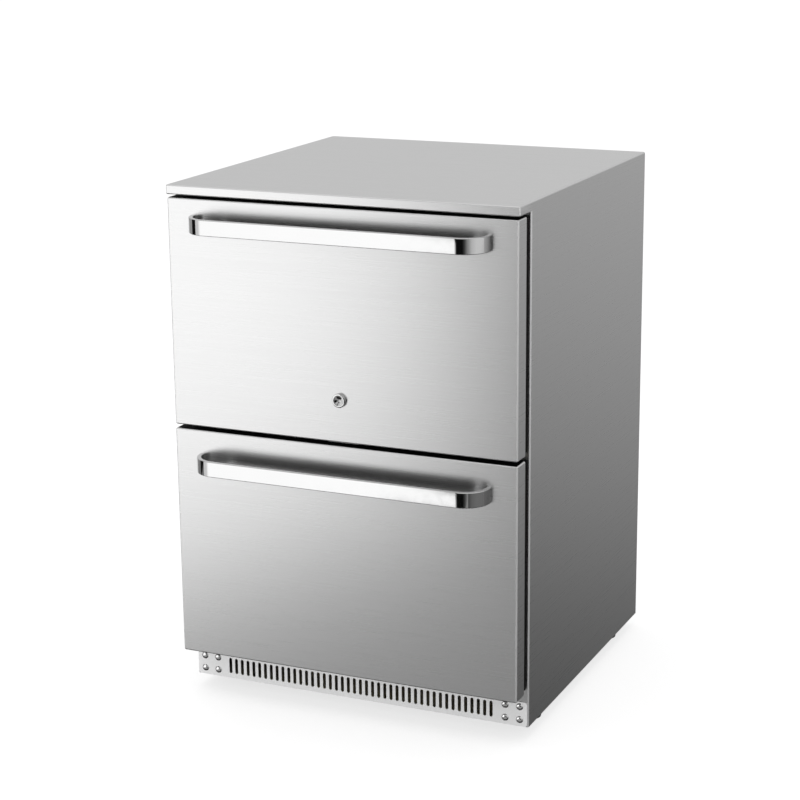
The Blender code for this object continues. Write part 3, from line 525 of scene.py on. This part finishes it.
# the pressed field's rings: inset in mm, and share of the panel's depth
FIELD = ((42, 0.5), (42, 0.58), (46, 0.62), (50, 0.9), (54, 0.96), (90, 0.97))
FIELD_CORNER = 20 * MM
SHEET_SHARE = 0.6  # the flat sheet's share of the panel's depth
LAP_SHARES = (0.64, 0.98)  # where the lap starts and ends in that depth
LAP_HEIGHTS = (-0.55 * MM, 8 * MM)  # its edges, from the panel's lower edge
PAN_HEAD = ((0.0, -0.475), (2.2, -0.45), (3.2, -0.3), (3.6, -0.125), (3.7, 0.0), (0.0, 0.0))
PAN_ROWS = 5
PAN_INSET = 16 * MM
PAN_MARGIN = 30 * MM


def rear_sheet():
    """Rear panel with a pressed field, a lap over its lower seam and a row of screws down each side."""
    low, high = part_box("rear_panel")
    zinc = FINISHES["galvanised_steel"]
    thick = high.y - low.y
    middle_z = (low.z + high.z) / 2
    half_x = (high.x - low.x) / 2
    half_z = (high.z - low.z) / 2
    flat = thick * SHEET_SHARE
    outline = round_rect(half_x, half_z, 3 * MM)
    sheet = prism("rear_sheet", [outline], flat, "Y", (0.0, low.y + flat / 2, middle_z), zinc, 0.2 * MM)
    seat(sheet, "cabinet", "galvanised_steel", "rear_panel")
    rings = []
    for inset, out in FIELD:
        ring = round_rect(half_x - inset * MM, half_z - inset * MM, FIELD_CORNER, 6)
        rings.append([(u, low.y + thick * out, middle_z + v) for u, v in ring])
    seat(loft("rear_field", rings, zinc), "cabinet", "galvanised_steel")
    lap_low = (-half_x, low.y + thick * LAP_SHARES[0], low.z + LAP_HEIGHTS[0])
    lap_high = (half_x, low.y + thick * LAP_SHARES[1], low.z + LAP_HEIGHTS[1])
    seat(rounded_box("rear_seam", lap_low, lap_high, 0.15 * MM, zinc, 2), "cabinet", "galvanised_steel")
    for side, word in SIDES:
        for row in range(PAN_ROWS):
            z = low.z + PAN_MARGIN + row * 2 * (half_z - PAN_MARGIN) / (PAN_ROWS - 1)
            place = (side * (half_x - PAN_INSET), low.y + flat, z)
            name = f"rear_screw_{word}_{row}"
            screw = lathe(name, in_mm(PAN_HEAD), place, FINISHES["zinc_steel"], "Y", 20, 60)
            seat(screw, "cabinet", "zinc_steel")


PAD = ((0.0, 0.0), (16.6, 0.0), (17.5, 0.5), (18.0, 1.4), (18.0, 5.2), (17.4, 6.3), (16.0, 7.2), (11.0, 8.6))
NECK = ((9.2, 9.2), (9.0, 10.4), (0.0, 10.4))
COLLAR_RADIUS = 10 * MM
COLLAR_HEIGHT = 8 * MM
COLLAR_MIDDLE = 14.6 * MM
THREAD_START = 18.8
THREAD_PITCH = 1.5
THREAD_TURNS = 26
THREAD_ROOT = 4.1
THREAD_CREST = 4.9


def stud_profile():
    """Outline of a threaded stud with a pointed end, in mm."""
    outline = [(0.0, THREAD_START)]
    for turn in range(THREAD_TURNS):
        z = THREAD_START + turn * THREAD_PITCH
        outline += [(THREAD_ROOT, z), (THREAD_CREST, z + 0.6), (THREAD_CREST, z + 0.9)]
    end = THREAD_START + THREAD_TURNS * THREAD_PITCH
    return outline + [(THREAD_ROOT, end + 0.6), (3.4, end + 1.8), (0.0, end + 1.8)]


def levelling_feet():
    """Feet with a rubber sole, a hexagon collar and a threaded stud."""
    zinc = FINISHES["zinc_steel"]
    for node in ("front_left_foot", "front_right_foot", "rear_left_foot", "rear_right_foot"):
        low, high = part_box(node)
        x = (low.x + high.x) / 2
        y = (low.y + high.y) / 2
        sole = lathe(node + "_pad", in_mm(PAD + NECK), (x, y, 0.0), FINISHES["black_plastic"])
        seat(sole, node, "black_plastic", node)
        hexagon = arc(0.0, 0.0, COLLAR_RADIUS, 0, 300, 5)
        nut = prism(node + "_collar", [hexagon], COLLAR_HEIGHT, "Z", (x, y, COLLAR_MIDDLE), zinc, 0.6 * MM)
        seat(nut, node, "zinc_steel")
        stud = lathe(node + "_stud", in_mm(stud_profile()), (x, y, 0.0), zinc, steps=20)
        seat(stud, node, "zinc_steel")


WINDOW_LENGTH = 60 * MM
WINDOW_HALF = 7 * MM
WINDOW_PROUD = 0.8 * MM
BUTTON_RING = ((5.9, 0.0), (7.2, 0.0), (7.2, 0.5), (6.8, 0.9), (6.2, 0.9), (5.9, 0.6), (5.9, 0.0))


def control_window():
    """Dark display window on the control box and a collar round each push button."""
    low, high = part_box("control_panel")
    middle_z = (low.z + high.z) / 2
    window_low = (-WINDOW_LENGTH, low.y - WINDOW_PROUD, middle_z - WINDOW_HALF)
    window_high = (0.0, low.y + 0.2 * MM, middle_z + WINDOW_HALF)
    window = rounded_box("display_window", window_low, window_high, 0.5 * MM, DARK)
    seat(window, "cabinet", "black_plastic")
    for button in ("power_button", "colder_button", "warmer_button"):
        middle = sum(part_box(button), Vector()) / 2
        centre = (middle.x, low.y - 0.02 * MM, middle.z)
        collar = lathe(button + "_collar", in_mm(BUTTON_RING), centre, CHROME, "Y", 32)
        seat(collar, "cabinet", "polished_steel")


# ---------------------------------------------------------------- drawers
LOCK_HOLE = 9.3 * MM
BOLT_SPARE = 0.6 * MM
BOLT_SLOT = 8 * MM  # half height of the cut that lets the bolt through an edge


def front_skin(name, node, body, lock_centre=None):
    """Folded drawer front with rounded bends, open at the back."""
    low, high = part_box(node)
    skin = rounded_box(name, low, (high.x, high.y + OVER, high.z), BEND, STEEL, 4, COINED)
    room_low = (low.x + THIN, low.y + THIN, low.z + THIN)
    room_high = (high.x - THIN, high.y + 2 * OVER, high.z - THIN)
    steps = [box_cut((-FAR, high.y, 0.0), (FAR, FAR, FAR)), box_cut(room_low, room_high, 0.6 * MM)]
    bolt_low, bolt_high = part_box("lock_bolt")
    edge_z = low.z if lock_centre else high.z
    slot_low = (bolt_low.x - BOLT_SPARE, bolt_low.y - BOLT_SPARE, edge_z - BOLT_SLOT)
    slot_high = (bolt_high.x + BOLT_SPARE, bolt_high.y + BOLT_SPARE, edge_z + BOLT_SLOT)
    steps.append(box_cut(slot_low, slot_high))
    if lock_centre:
        hole = [(0.0, -2 * OVER), (LOCK_HOLE, -2 * OVER), (LOCK_HOLE, 2 * OVER), (0.0, 2 * OVER)]
        steps.append(("DIFFERENCE", lathe("cutter", hole, lock_centre, None, "Y")))
    skin = solids(skin, steps)
    # painted highlight on the front's upright bends
    paint_bend_highlights(skin)
    # painted shade on the front's flat top and bottom, for the dark gaps
    paint_edge_shade(skin, low.y + BEND)
    seat(skin, body, "brushed_steel", node)


BAR = 7 * MM  # thickness of a handle's flat bar
BAIL_BEND = 41.5 * MM  # outer radius of its two bends
BEND_STEPS = 28
BAR_EDGE = 1.1 * MM
LEG_ROOT = 0.8 * MM  # how far a leg runs on into the drawer front's sheet
BACKING_THICK = 2.4 * MM  # the black strip behind the bar, a little sunk into it


def bail_handle(name, node, body):
    """Polished flat bar bent to a bail, swept round its bends with soft edges, and its black backing, a strip
    of painted shade behind the bar.
    """
    low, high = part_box(node)
    middle_z = (low.z + high.z) / 2
    half_z = (high.z - low.z) / 2
    leg_x = high.x - BAR / 2
    centre_x = high.x - BAIL_BEND
    centre_y = low.y + BAIL_BEND
    mid_radius = BAIL_BEND - BAR / 2
    right = [(leg_x, high.y + LEG_ROOT, 0.0)]
    for i in range(BEND_STEPS + 1):
        t = math.radians(90 * i / BEND_STEPS)
        right.append((centre_x + mid_radius * math.cos(t), centre_y - mid_radius * math.sin(t), t))
    path = right + [(-x, y, math.pi - t) for x, y, t in reversed(right)]
    section = round_rect(BAR / 2, half_z, BAR_EDGE)
    rings = []
    for x, y, t in path:
        out = Vector((math.cos(t), -math.sin(t), 0.0))
        rings.append([Vector((x, y, middle_z + v)) + out * u for u, v in section])
    seat(loft(name, rings, CHROME, angle=50), body, "polished_steel", node)
    # painted shade: a black strip behind the bar, so the drawer front shows a dark band behind it
    outline = round_rect(centre_x, half_z - 0.4 * MM, 3 * MM)
    place = (0.0, low.y + BAR + BACKING_THICK / 2 - 0.1 * MM, middle_z)
    strip = prism(name + "_backing", [outline], BACKING_THICK, "Y", place, BLACK_SEAL_AND_SHADE, 0.4 * MM)
    seat(strip, body, "black_plastic")


def frame_ring(name, outer, profile, centre_z, y0, surface):
    """A profile of (inset, depth) points in mm carried round a rectangle with mitred corners."""
    half_x, half_z = outer
    rings = []
    for sx, sz in ((-1, -1), (1, -1), (1, 1), (-1, 1)):
        ring = [(sx * (half_x - i * MM), y0 + d * MM, centre_z + sz * (half_z - i * MM)) for i, d in profile]
        rings.append(ring)
    return loft(name, rings, surface, closed=True, angle=50)


# the gasket's section as (inset, depth) in mm: its outer bellows, and its inner one
BELLOWS = ((0.9, 0.0), (0.0, 1.0), (0.9, 2.6), (2.3, 3.8), (2.3, 5.0), (0.8, 6.2), (0.8, 7.2), (2.2, 8.2))
INNER_BELLOWS = ((11.8, 8.2), (13.2, 7.2), (13.2, 6.2), (11.7, 5.0), (11.7, 3.8), (13.1, 2.6), (14.0, 1.0))


def door_gasket(name, node, body):
    """Magnetic gasket: a soft bellows between two lips."""
    low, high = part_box(node)
    outer = ((high.x - low.x) / 2, (high.z - low.z) / 2)
    depth = (high.y - low.y) / MM
    face = [(0.6, depth - 2.2), (0.6, depth - 0.6), (1.3, depth), (12.7, depth), (13.4, depth - 0.6)]
    section = [*BELLOWS, *face, (13.4, depth - 2.2), *INNER_BELLOWS, (13.1, 0.0)]
    ring = frame_ring(name, outer, section, (low.z + high.z) / 2, low.y, FINISHES["gasket_rubber"])
    seat(ring, body, "gasket_rubber", node)


def inner_panel(name, node, body):
    """Moulded inner panel with a rounded rim."""
    low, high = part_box(node)
    panel = rounded_box(name, low, high, 1.0 * MM, FINISHES["inner_plastic"], 3)
    seat(panel, body, "inner_plastic", node)


SEAL_WIDTH = 3.0  # in mm, as are the two below
SEAL_SPARE = 0.06
SEAL_PROUD = 0.2


def edge_seal(name, body):
    """Black seal over the edge of the foam, between the drawer front and its inner panel."""
    core_low, core_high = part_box(body + "_core")
    keeper_low, keeper_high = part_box("keeper_plate")
    over_keeper = core_low.z > keeper_low.z
    low_z = keeper_high.z + GAP if over_keeper else core_low.z
    high_z = core_high.z if over_keeper else keeper_low.z - GAP
    thick = (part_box(body + "_inner_panel")[0].y - core_high.y) / MM - 2 * SEAL_SPARE
    profile = [(0.0, 0.0), (SEAL_WIDTH, 0.0), (SEAL_WIDTH, thick), (0.0, thick)]
    outer = (core_high.x + SEAL_PROUD * MM, (high_z - low_z) / 2)
    ring = frame_ring(name, outer, profile, (low_z + high_z) / 2, core_high.y + SEAL_SPARE * MM, BLACK_SEAL_AND_SHADE)
    seat(ring, body, "gasket_rubber")


RIM = 7 * MM  # how far a bin's flange stands out of its walls
BIN_CORNER = 8 * MM
BEAD_ROWS = (0.32, 0.52, 0.72)  # shares of a bin's height
BEAD_HALF = (2 * MM, 4 * MM)
BEAD_END = 40 * MM  # how far the beads stop from the bin's front and back
BEAD_OUT = 1.2 * MM
ROLL = 1.6 * MM


def food_bin(name, node, body):
    """Pressed bin with round corners, a rolled rim and shallow beads along its sides."""
    low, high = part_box(node)
    wall_low = Vector((low.x + RIM, low.y, low.z))
    wall_high = Vector((high.x - RIM, high.y - RIM, high.z))
    above = Vector((0.0, 0.0, 50 * MM))
    shell = rounded_box(name, wall_low, wall_high + above, BIN_CORNER, FINISHES["liner_steel"], 4)
    steps = [box_cut((-FAR, -FAR, high.z - 0.2 * MM), (FAR, FAR, 2 * FAR))]
    for share in BEAD_ROWS:
        z = low.z + (high.z - low.z) * share
        for side, _ in SIDES:
            x = side * (wall_high.x + BEAD_OUT)
            bead_low = (x - BEAD_HALF[0], wall_low.y + BEAD_END, z - BEAD_HALF[1])
            bead_high = (x + BEAD_HALF[0], wall_high.y - BEAD_END, z + BEAD_HALF[1])
            steps.append(box_cut(bead_low, bead_high, 1.9 * MM))
    shell = solids(shell, steps)
    inset = Vector((THIN, THIN, THIN))
    room_high = wall_high - inset + 2 * above
    room = rounded_box("cutter", wall_low + inset, room_high, BIN_CORNER - THIN, None, 4)
    shell = solids(shell, [("DIFFERENCE", room)])
    seat(shell, body, "liner_steel", node)
    middle = (wall_low + wall_high) / 2
    half_u = (wall_high.x - wall_low.x) / 2
    half_v = (wall_high.y - wall_low.y) / 2
    inner = ROLL + 0.1 * MM
    rings = []
    for out, up in arc(-inner, -inner, ROLL, 0, 330, 11):
        ring = round_rect(half_u + out, half_v + out, BIN_CORNER, 6)
        rings.append([(u, middle.y + v, high.z + up) for u, v in ring])
    roll = loft(name + "_rim", rings, FINISHES["liner_steel"], closed=True, angle=80)
    seat(roll, body, "liner_steel")


SHANK = 9.0  # radii of the lock's shank and of the dish in its bezel, in mm
DISH = 8.0
KEYWAY = (0.9 * MM, 3.5 * MM)


def lock():
    """Lock with a turned bezel against the drawer front, and a dished plug with a cut keyway."""
    low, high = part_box("lock_cylinder")
    centre = Vector(((low.x + high.x) / 2, low.y, (low.z + high.z) / 2))
    outer = (high.x - low.x) / 2 / MM
    proud = (FRONT - low.y) / MM - 0.3
    depth = (high.y - low.y) / MM
    bezel = [(DISH, -1.0), (DISH + 0.1, -0.3), (DISH + 0.6, 0.0), (outer - 1.4, 0.0), (outer - 0.5, -0.4)]
    bezel += [(outer, -1.3), (outer, -proud), (SHANK, -proud), (SHANK, -depth), (DISH, -depth), (DISH, -1.0)]
    ring = lathe("lock_bezel", in_mm(bezel), centre, CHROME, "Y", 64)
    seat(ring, "lock_cylinder", "polished_steel", "lock_cylinder")
    face = [(0.0, -2.3), (2.4, -2.3), (2.8, -2.2), (DISH - 0.9, -0.5), (DISH - 0.5, -0.5), (DISH - 0.2, -0.8)]
    face += [(DISH - 0.2, 2.0 - depth), (0.0, 2.0 - depth)]
    plug = lathe("lock_plug", in_mm(face), centre, CHROME, "Y", 48)
    half = Vector((KEYWAY[0], 8 * MM, KEYWAY[1]))
    plug = solids(plug, [box_cut(centre - half, centre + half)])
    seat(plug, "lock_cylinder", "polished_steel")
    return centre


cabinet_wrap()
# painted shade in the visor's hollow
visor_shade_strip()
grille()
rear_sheet()
levelling_feet()
control_window()
lock_centre = lock()
for drawer in ("upper", "lower"):
    body = drawer + "_drawer"
    front_skin(drawer + "_front", body + "_skin", body, lock_centre if drawer == "upper" else None)
    bail_handle(drawer + "_bail", drawer + "_handle", body)
    door_gasket(drawer + "_seal", body + "_gasket", body)
    inner_panel(drawer + "_front_liner", body + "_inner_panel", body)
    edge_seal(drawer + "_edge_seal", body)
    food_bin(drawer + "_food_bin", drawer + "_bin", body)


# ---------------------------------------------------------------- stage, light and camera
def plain_sheet(name, corners, surface):
    """A flat four-cornered piece of the stage."""
    mesh = bpy.data.meshes.new(name)
    mesh.from_pydata(corners, [], [(0, 1, 2, 3)])
    mesh.materials.append(surface)
    obj = bpy.data.objects.new(name, mesh)
    bpy.context.scene.collection.objects.link(obj)
    return obj


def tone_ramp(nodes, stops):
    """A colour ramp of greys."""
    ramp = nodes.new("ShaderNodeValToRGB")
    elements = ramp.color_ramp.elements
    for place, tone in stops:
        stop = elements.new(place)
        stop.color = (tone, tone, tone, 1.0)
    elements.remove(elements[0])
    elements.remove(elements[-1])
    return ramp


def glow(name, strength, across, upward):
    """A glowing card. Its tones are (share of the card, tone) stops across it and up it."""
    surface = Surface(name, (0.0, 0.0, 0.0), 1.0)
    nodes = surface.nodes
    split = nodes.new("ShaderNodeSeparateXYZ")
    surface.links.new(nodes.new("ShaderNodeTexCoord").outputs["Generated"], split.inputs["Vector"])
    fade = nodes.new("ShaderNodeMath")
    fade.operation = "MULTIPLY"
    for index, (axis, stops) in enumerate((("X", across), ("Z", upward))):
        ramp = tone_ramp(nodes, stops)
        surface.links.new(split.outputs[axis], ramp.inputs["Fac"])
        surface.links.new(ramp.outputs["Color"], fade.inputs[index])
    surface.links.new(fade.outputs["Value"], surface.shader.inputs["Emission Color"])
    surface.shader.inputs["Emission Strength"].default_value = strength
    return surface.material


EVEN = ((0.01, 1.0), (0.99, 1.0))


def reflected_card(name, ends, feet, top, strength, across=EVEN, upward=EVEN):
    """An upright card seen only in reflections: two plan points, the height of its foot at each, its top."""
    corners = [(*ends[0], feet[0]), (*ends[1], feet[1]), (*ends[1], top), (*ends[0], top)]
    card = plain_sheet(name, corners, glow(name, strength, across, upward))
    card.visible_camera = False
    card.visible_diffuse = False
    card.visible_transmission = False
    card.visible_shadow = False


FLOOR_REACH = 40.0
FLOOR_TONE = 0.28
FLOOR_GLOW = 0.73  # lifts the floor to white, so that only a faint shadow is left


def pale_floor():
    """White floor that reflections don't see."""
    surface = Surface("floor_white", (FLOOR_TONE, FLOOR_TONE, FLOOR_TONE), 0.9)
    surface.vary_colour(surface.noise(1.5, 2.0), 0.995, 1.0)
    surface.shader.inputs["Emission Color"].default_value = (1.0, 1.0, 1.0, 1.0)
    surface.shader.inputs["Emission Strength"].default_value = FLOOR_GLOW
    turns = ((-1, -1), (1, -1), (1, 1), (-1, 1))
    corners = [(x * FLOOR_REACH, y * FLOOR_REACH, 0.0) for x, y in turns]
    ground = plain_sheet("floor", corners, surface.material)
    ground.visible_glossy = False


CAMERA_AT = Vector((1.3746, FRONT - 2.8370, BASE + 1.3577))
AZIMUTH = math.radians(24.135)
ELEVATION = math.radians(14.861)
ROLL = math.radians(-0.568)
FOCAL_LENGTH = 93.7  # mm, on a sensor 36 mm wide

# cards before the fridge, left to right: their plane, edges, feet, tops, and tones across them
STUDIO_FRONT = -3.08
CARD_TOP = 2.7
SOFTBOX = (-3.5, -0.5)
SOFTBOX_FEET = (-1.75, -0.25)
SOFTBOX_FADE = ((0.01, 0.7), (0.2, 0.85), (0.32, 1.0), (0.8, 1.0), (0.92, 0.0))
SOFTBOX_RISE = ((0.01, 1.0), (0.66, 1.0), (0.78, 0.45), (0.99, 0.4))
SOFTBOX_STRENGTH = 1.62
STRIP = (-1.4, -0.4)
STRIP_FADE = ((0.01, 1.0), (0.45, 1.0), (0.98, 0.0))
STRIP_SPARE = 0.02
FLAG_RIGHT = 2.2
FLAG_FADE = ((0.01, 0.0), (0.50, 0.0), (0.68, 0.06), (0.90, 0.27), (0.99, 0.36))
FLAG_FOOT = -0.6
FLAG_TOP = 0.8
BOUNCE_LEFT = -4.5
BOUNCE = (-2.4, -0.4)
BOUNCE_STRENGTH = 0.33


def mirrored(z, depth):
    """Height on the front cards that the camera sees in an upright mirror at a depth, at height z."""
    return z + (z - CAMERA_AT.z) * (depth - STUDIO_FRONT) / (depth - CAMERA_AT.y)


def front_cards():
    """Softbox, dark flag and bounce card before the fridge, with a bright strip for each handle's bar."""
    ends = ((SOFTBOX[0], STUDIO_FRONT), (SOFTBOX[1], STUDIO_FRONT))
    reflected_card("softbox", ends, SOFTBOX_FEET, CARD_TOP, SOFTBOX_STRENGTH, SOFTBOX_FADE, SOFTBOX_RISE)
    before = STUDIO_FRONT + 0.02
    for name in ("upper_handle", "lower_handle"):
        low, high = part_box(name)
        foot = mirrored(low.z, low.y) - STRIP_SPARE
        top = mirrored(high.z, low.y) + STRIP_SPARE
        ends = ((STRIP[0], before), (STRIP[1], before))
        reflected_card(name + "_strip", ends, (foot, foot), top, SOFTBOX_STRENGTH, STRIP_FADE)
    ends = ((SOFTBOX[1], STUDIO_FRONT), (FLAG_RIGHT, STUDIO_FRONT))
    reflected_card("flag_front", ends, (FLAG_FOOT, FLAG_FOOT), FLAG_TOP, 1.0, FLAG_FADE)
    behind = STUDIO_FRONT - 0.05
    ends = ((BOUNCE_LEFT, behind), (FLAG_RIGHT, behind))
    reflected_card("floor_bounce", ends, (BOUNCE[0], BOUNCE[0]), BOUNCE[1], BOUNCE_STRENGTH)


RETURN_END = -1.7  # where the softbox's return along the left meets the left flag
RETURN_STRENGTH = 0.9
FLAG_LEFT_END = -0.25
FILL_END = (4.2, 1.6)
FILL_HEIGHT = (-1.6, 2.4)
FILL_FADE = ((0.01, 0.36), (0.2, 0.7), (0.4, 0.85), (0.99, 0.85))
FILL_RISE = ((0.01, 0.2), (0.3, 0.25), (0.45, 1.0), (0.99, 1.0))


def side_cards():
    """Return of the softbox and a dark flag on the left, and a fill card on the right."""
    left = SOFTBOX[0]
    ends = ((left, STUDIO_FRONT), (left, RETURN_END))
    feet = (SOFTBOX_FEET[0], SOFTBOX_FEET[0])
    reflected_card("softbox_return", ends, feet, CARD_TOP, RETURN_STRENGTH)
    ends = ((left, RETURN_END), (left, FLAG_LEFT_END))
    reflected_card("flag_left", ends, (FLAG_FOOT, FLAG_FOOT), CARD_TOP, 0.0)
    ends = ((FLAG_RIGHT, STUDIO_FRONT), FILL_END)
    foot, top = FILL_HEIGHT
    reflected_card("fill_right", ends, (foot, foot), top, 1.0, FILL_FADE, FILL_RISE)


# tones of the studio round the cards, from straight down at -1 to straight up at 1
DOME_TONES = ((-1.0, 0.02), (-0.5, 0.03), (-0.38, 0.07), (-0.28, 0.29), (-0.17, 0.44))
SKY_TONES = ((0.0, 0.6), (0.3, 0.71), (1.0, 0.8))


def world_light():
    """Plain white for the camera and the diffuse light, and a graded studio for the reflections."""
    world = bpy.data.worlds.new("studio")
    bpy.context.scene.world = world
    world.use_nodes = True
    nodes = world.node_tree.nodes
    links = world.node_tree.links
    split = nodes.new("ShaderNodeSeparateXYZ")
    links.new(nodes.new("ShaderNodeTexCoord").outputs["Generated"], split.inputs["Vector"])
    height = nodes.new("ShaderNodeMapRange")
    height.inputs["From Min"].default_value = -1.0
    links.new(split.outputs["Z"], height.inputs["Value"])
    ramp = tone_ramp(nodes, [((rise + 1.0) / 2, tone) for rise, tone in DOME_TONES + SKY_TONES])
    links.new(height.outputs["Result"], ramp.inputs["Fac"])
    path = nodes.new("ShaderNodeLightPath")
    mix = nodes.new("ShaderNodeMix")
    mix.data_type = "RGBA"
    mix.inputs["A"].default_value = (1.0, 1.0, 1.0, 1.0)
    links.new(path.outputs["Is Glossy Ray"], mix.inputs["Factor"])
    links.new(ramp.outputs["Color"], mix.inputs["B"])
    links.new(mix.outputs["Result"], nodes["Background"].inputs["Color"])


LAMP_SIZE = 3.2
LAMP_AT = (-0.4, -0.6, 4.2)
LAMP_POWER = 60.0


def overhead_light():
    """Large soft lamp over the fridge that reflections don't see."""
    key = bpy.data.lights.new("overhead", "AREA")
    key.shape = "RECTANGLE"
    key.size = LAMP_SIZE
    key.size_y = LAMP_SIZE
    key.energy = LAMP_POWER
    lamp = bpy.data.objects.new("overhead", key)
    lamp.location = LAMP_AT
    lamp.visible_glossy = False
    bpy.context.scene.collection.objects.link(lamp)


def camera():
    """Camera before the fridge, to its right and over it, looking down."""
    lens = bpy.data.cameras.new("camera")
    lens.lens = FOCAL_LENGTH
    lens.sensor_width = 36.0
    holder = bpy.data.objects.new("camera", lens)
    tilt = Matrix.Rotation(math.pi / 2 - ELEVATION, 4, "X") @ Matrix.Rotation(ROLL, 4, "Z")
    holder.matrix_world = Matrix.Translation(CAMERA_AT) @ Matrix.Rotation(AZIMUTH, 4, "Z") @ tilt
    bpy.context.scene.collection.objects.link(holder)
    bpy.context.scene.camera = holder


pale_floor()
front_cards()
side_cards()
world_light()
overhead_light()
camera()
bpy.context.scene.view_settings.view_transform = "Standard"
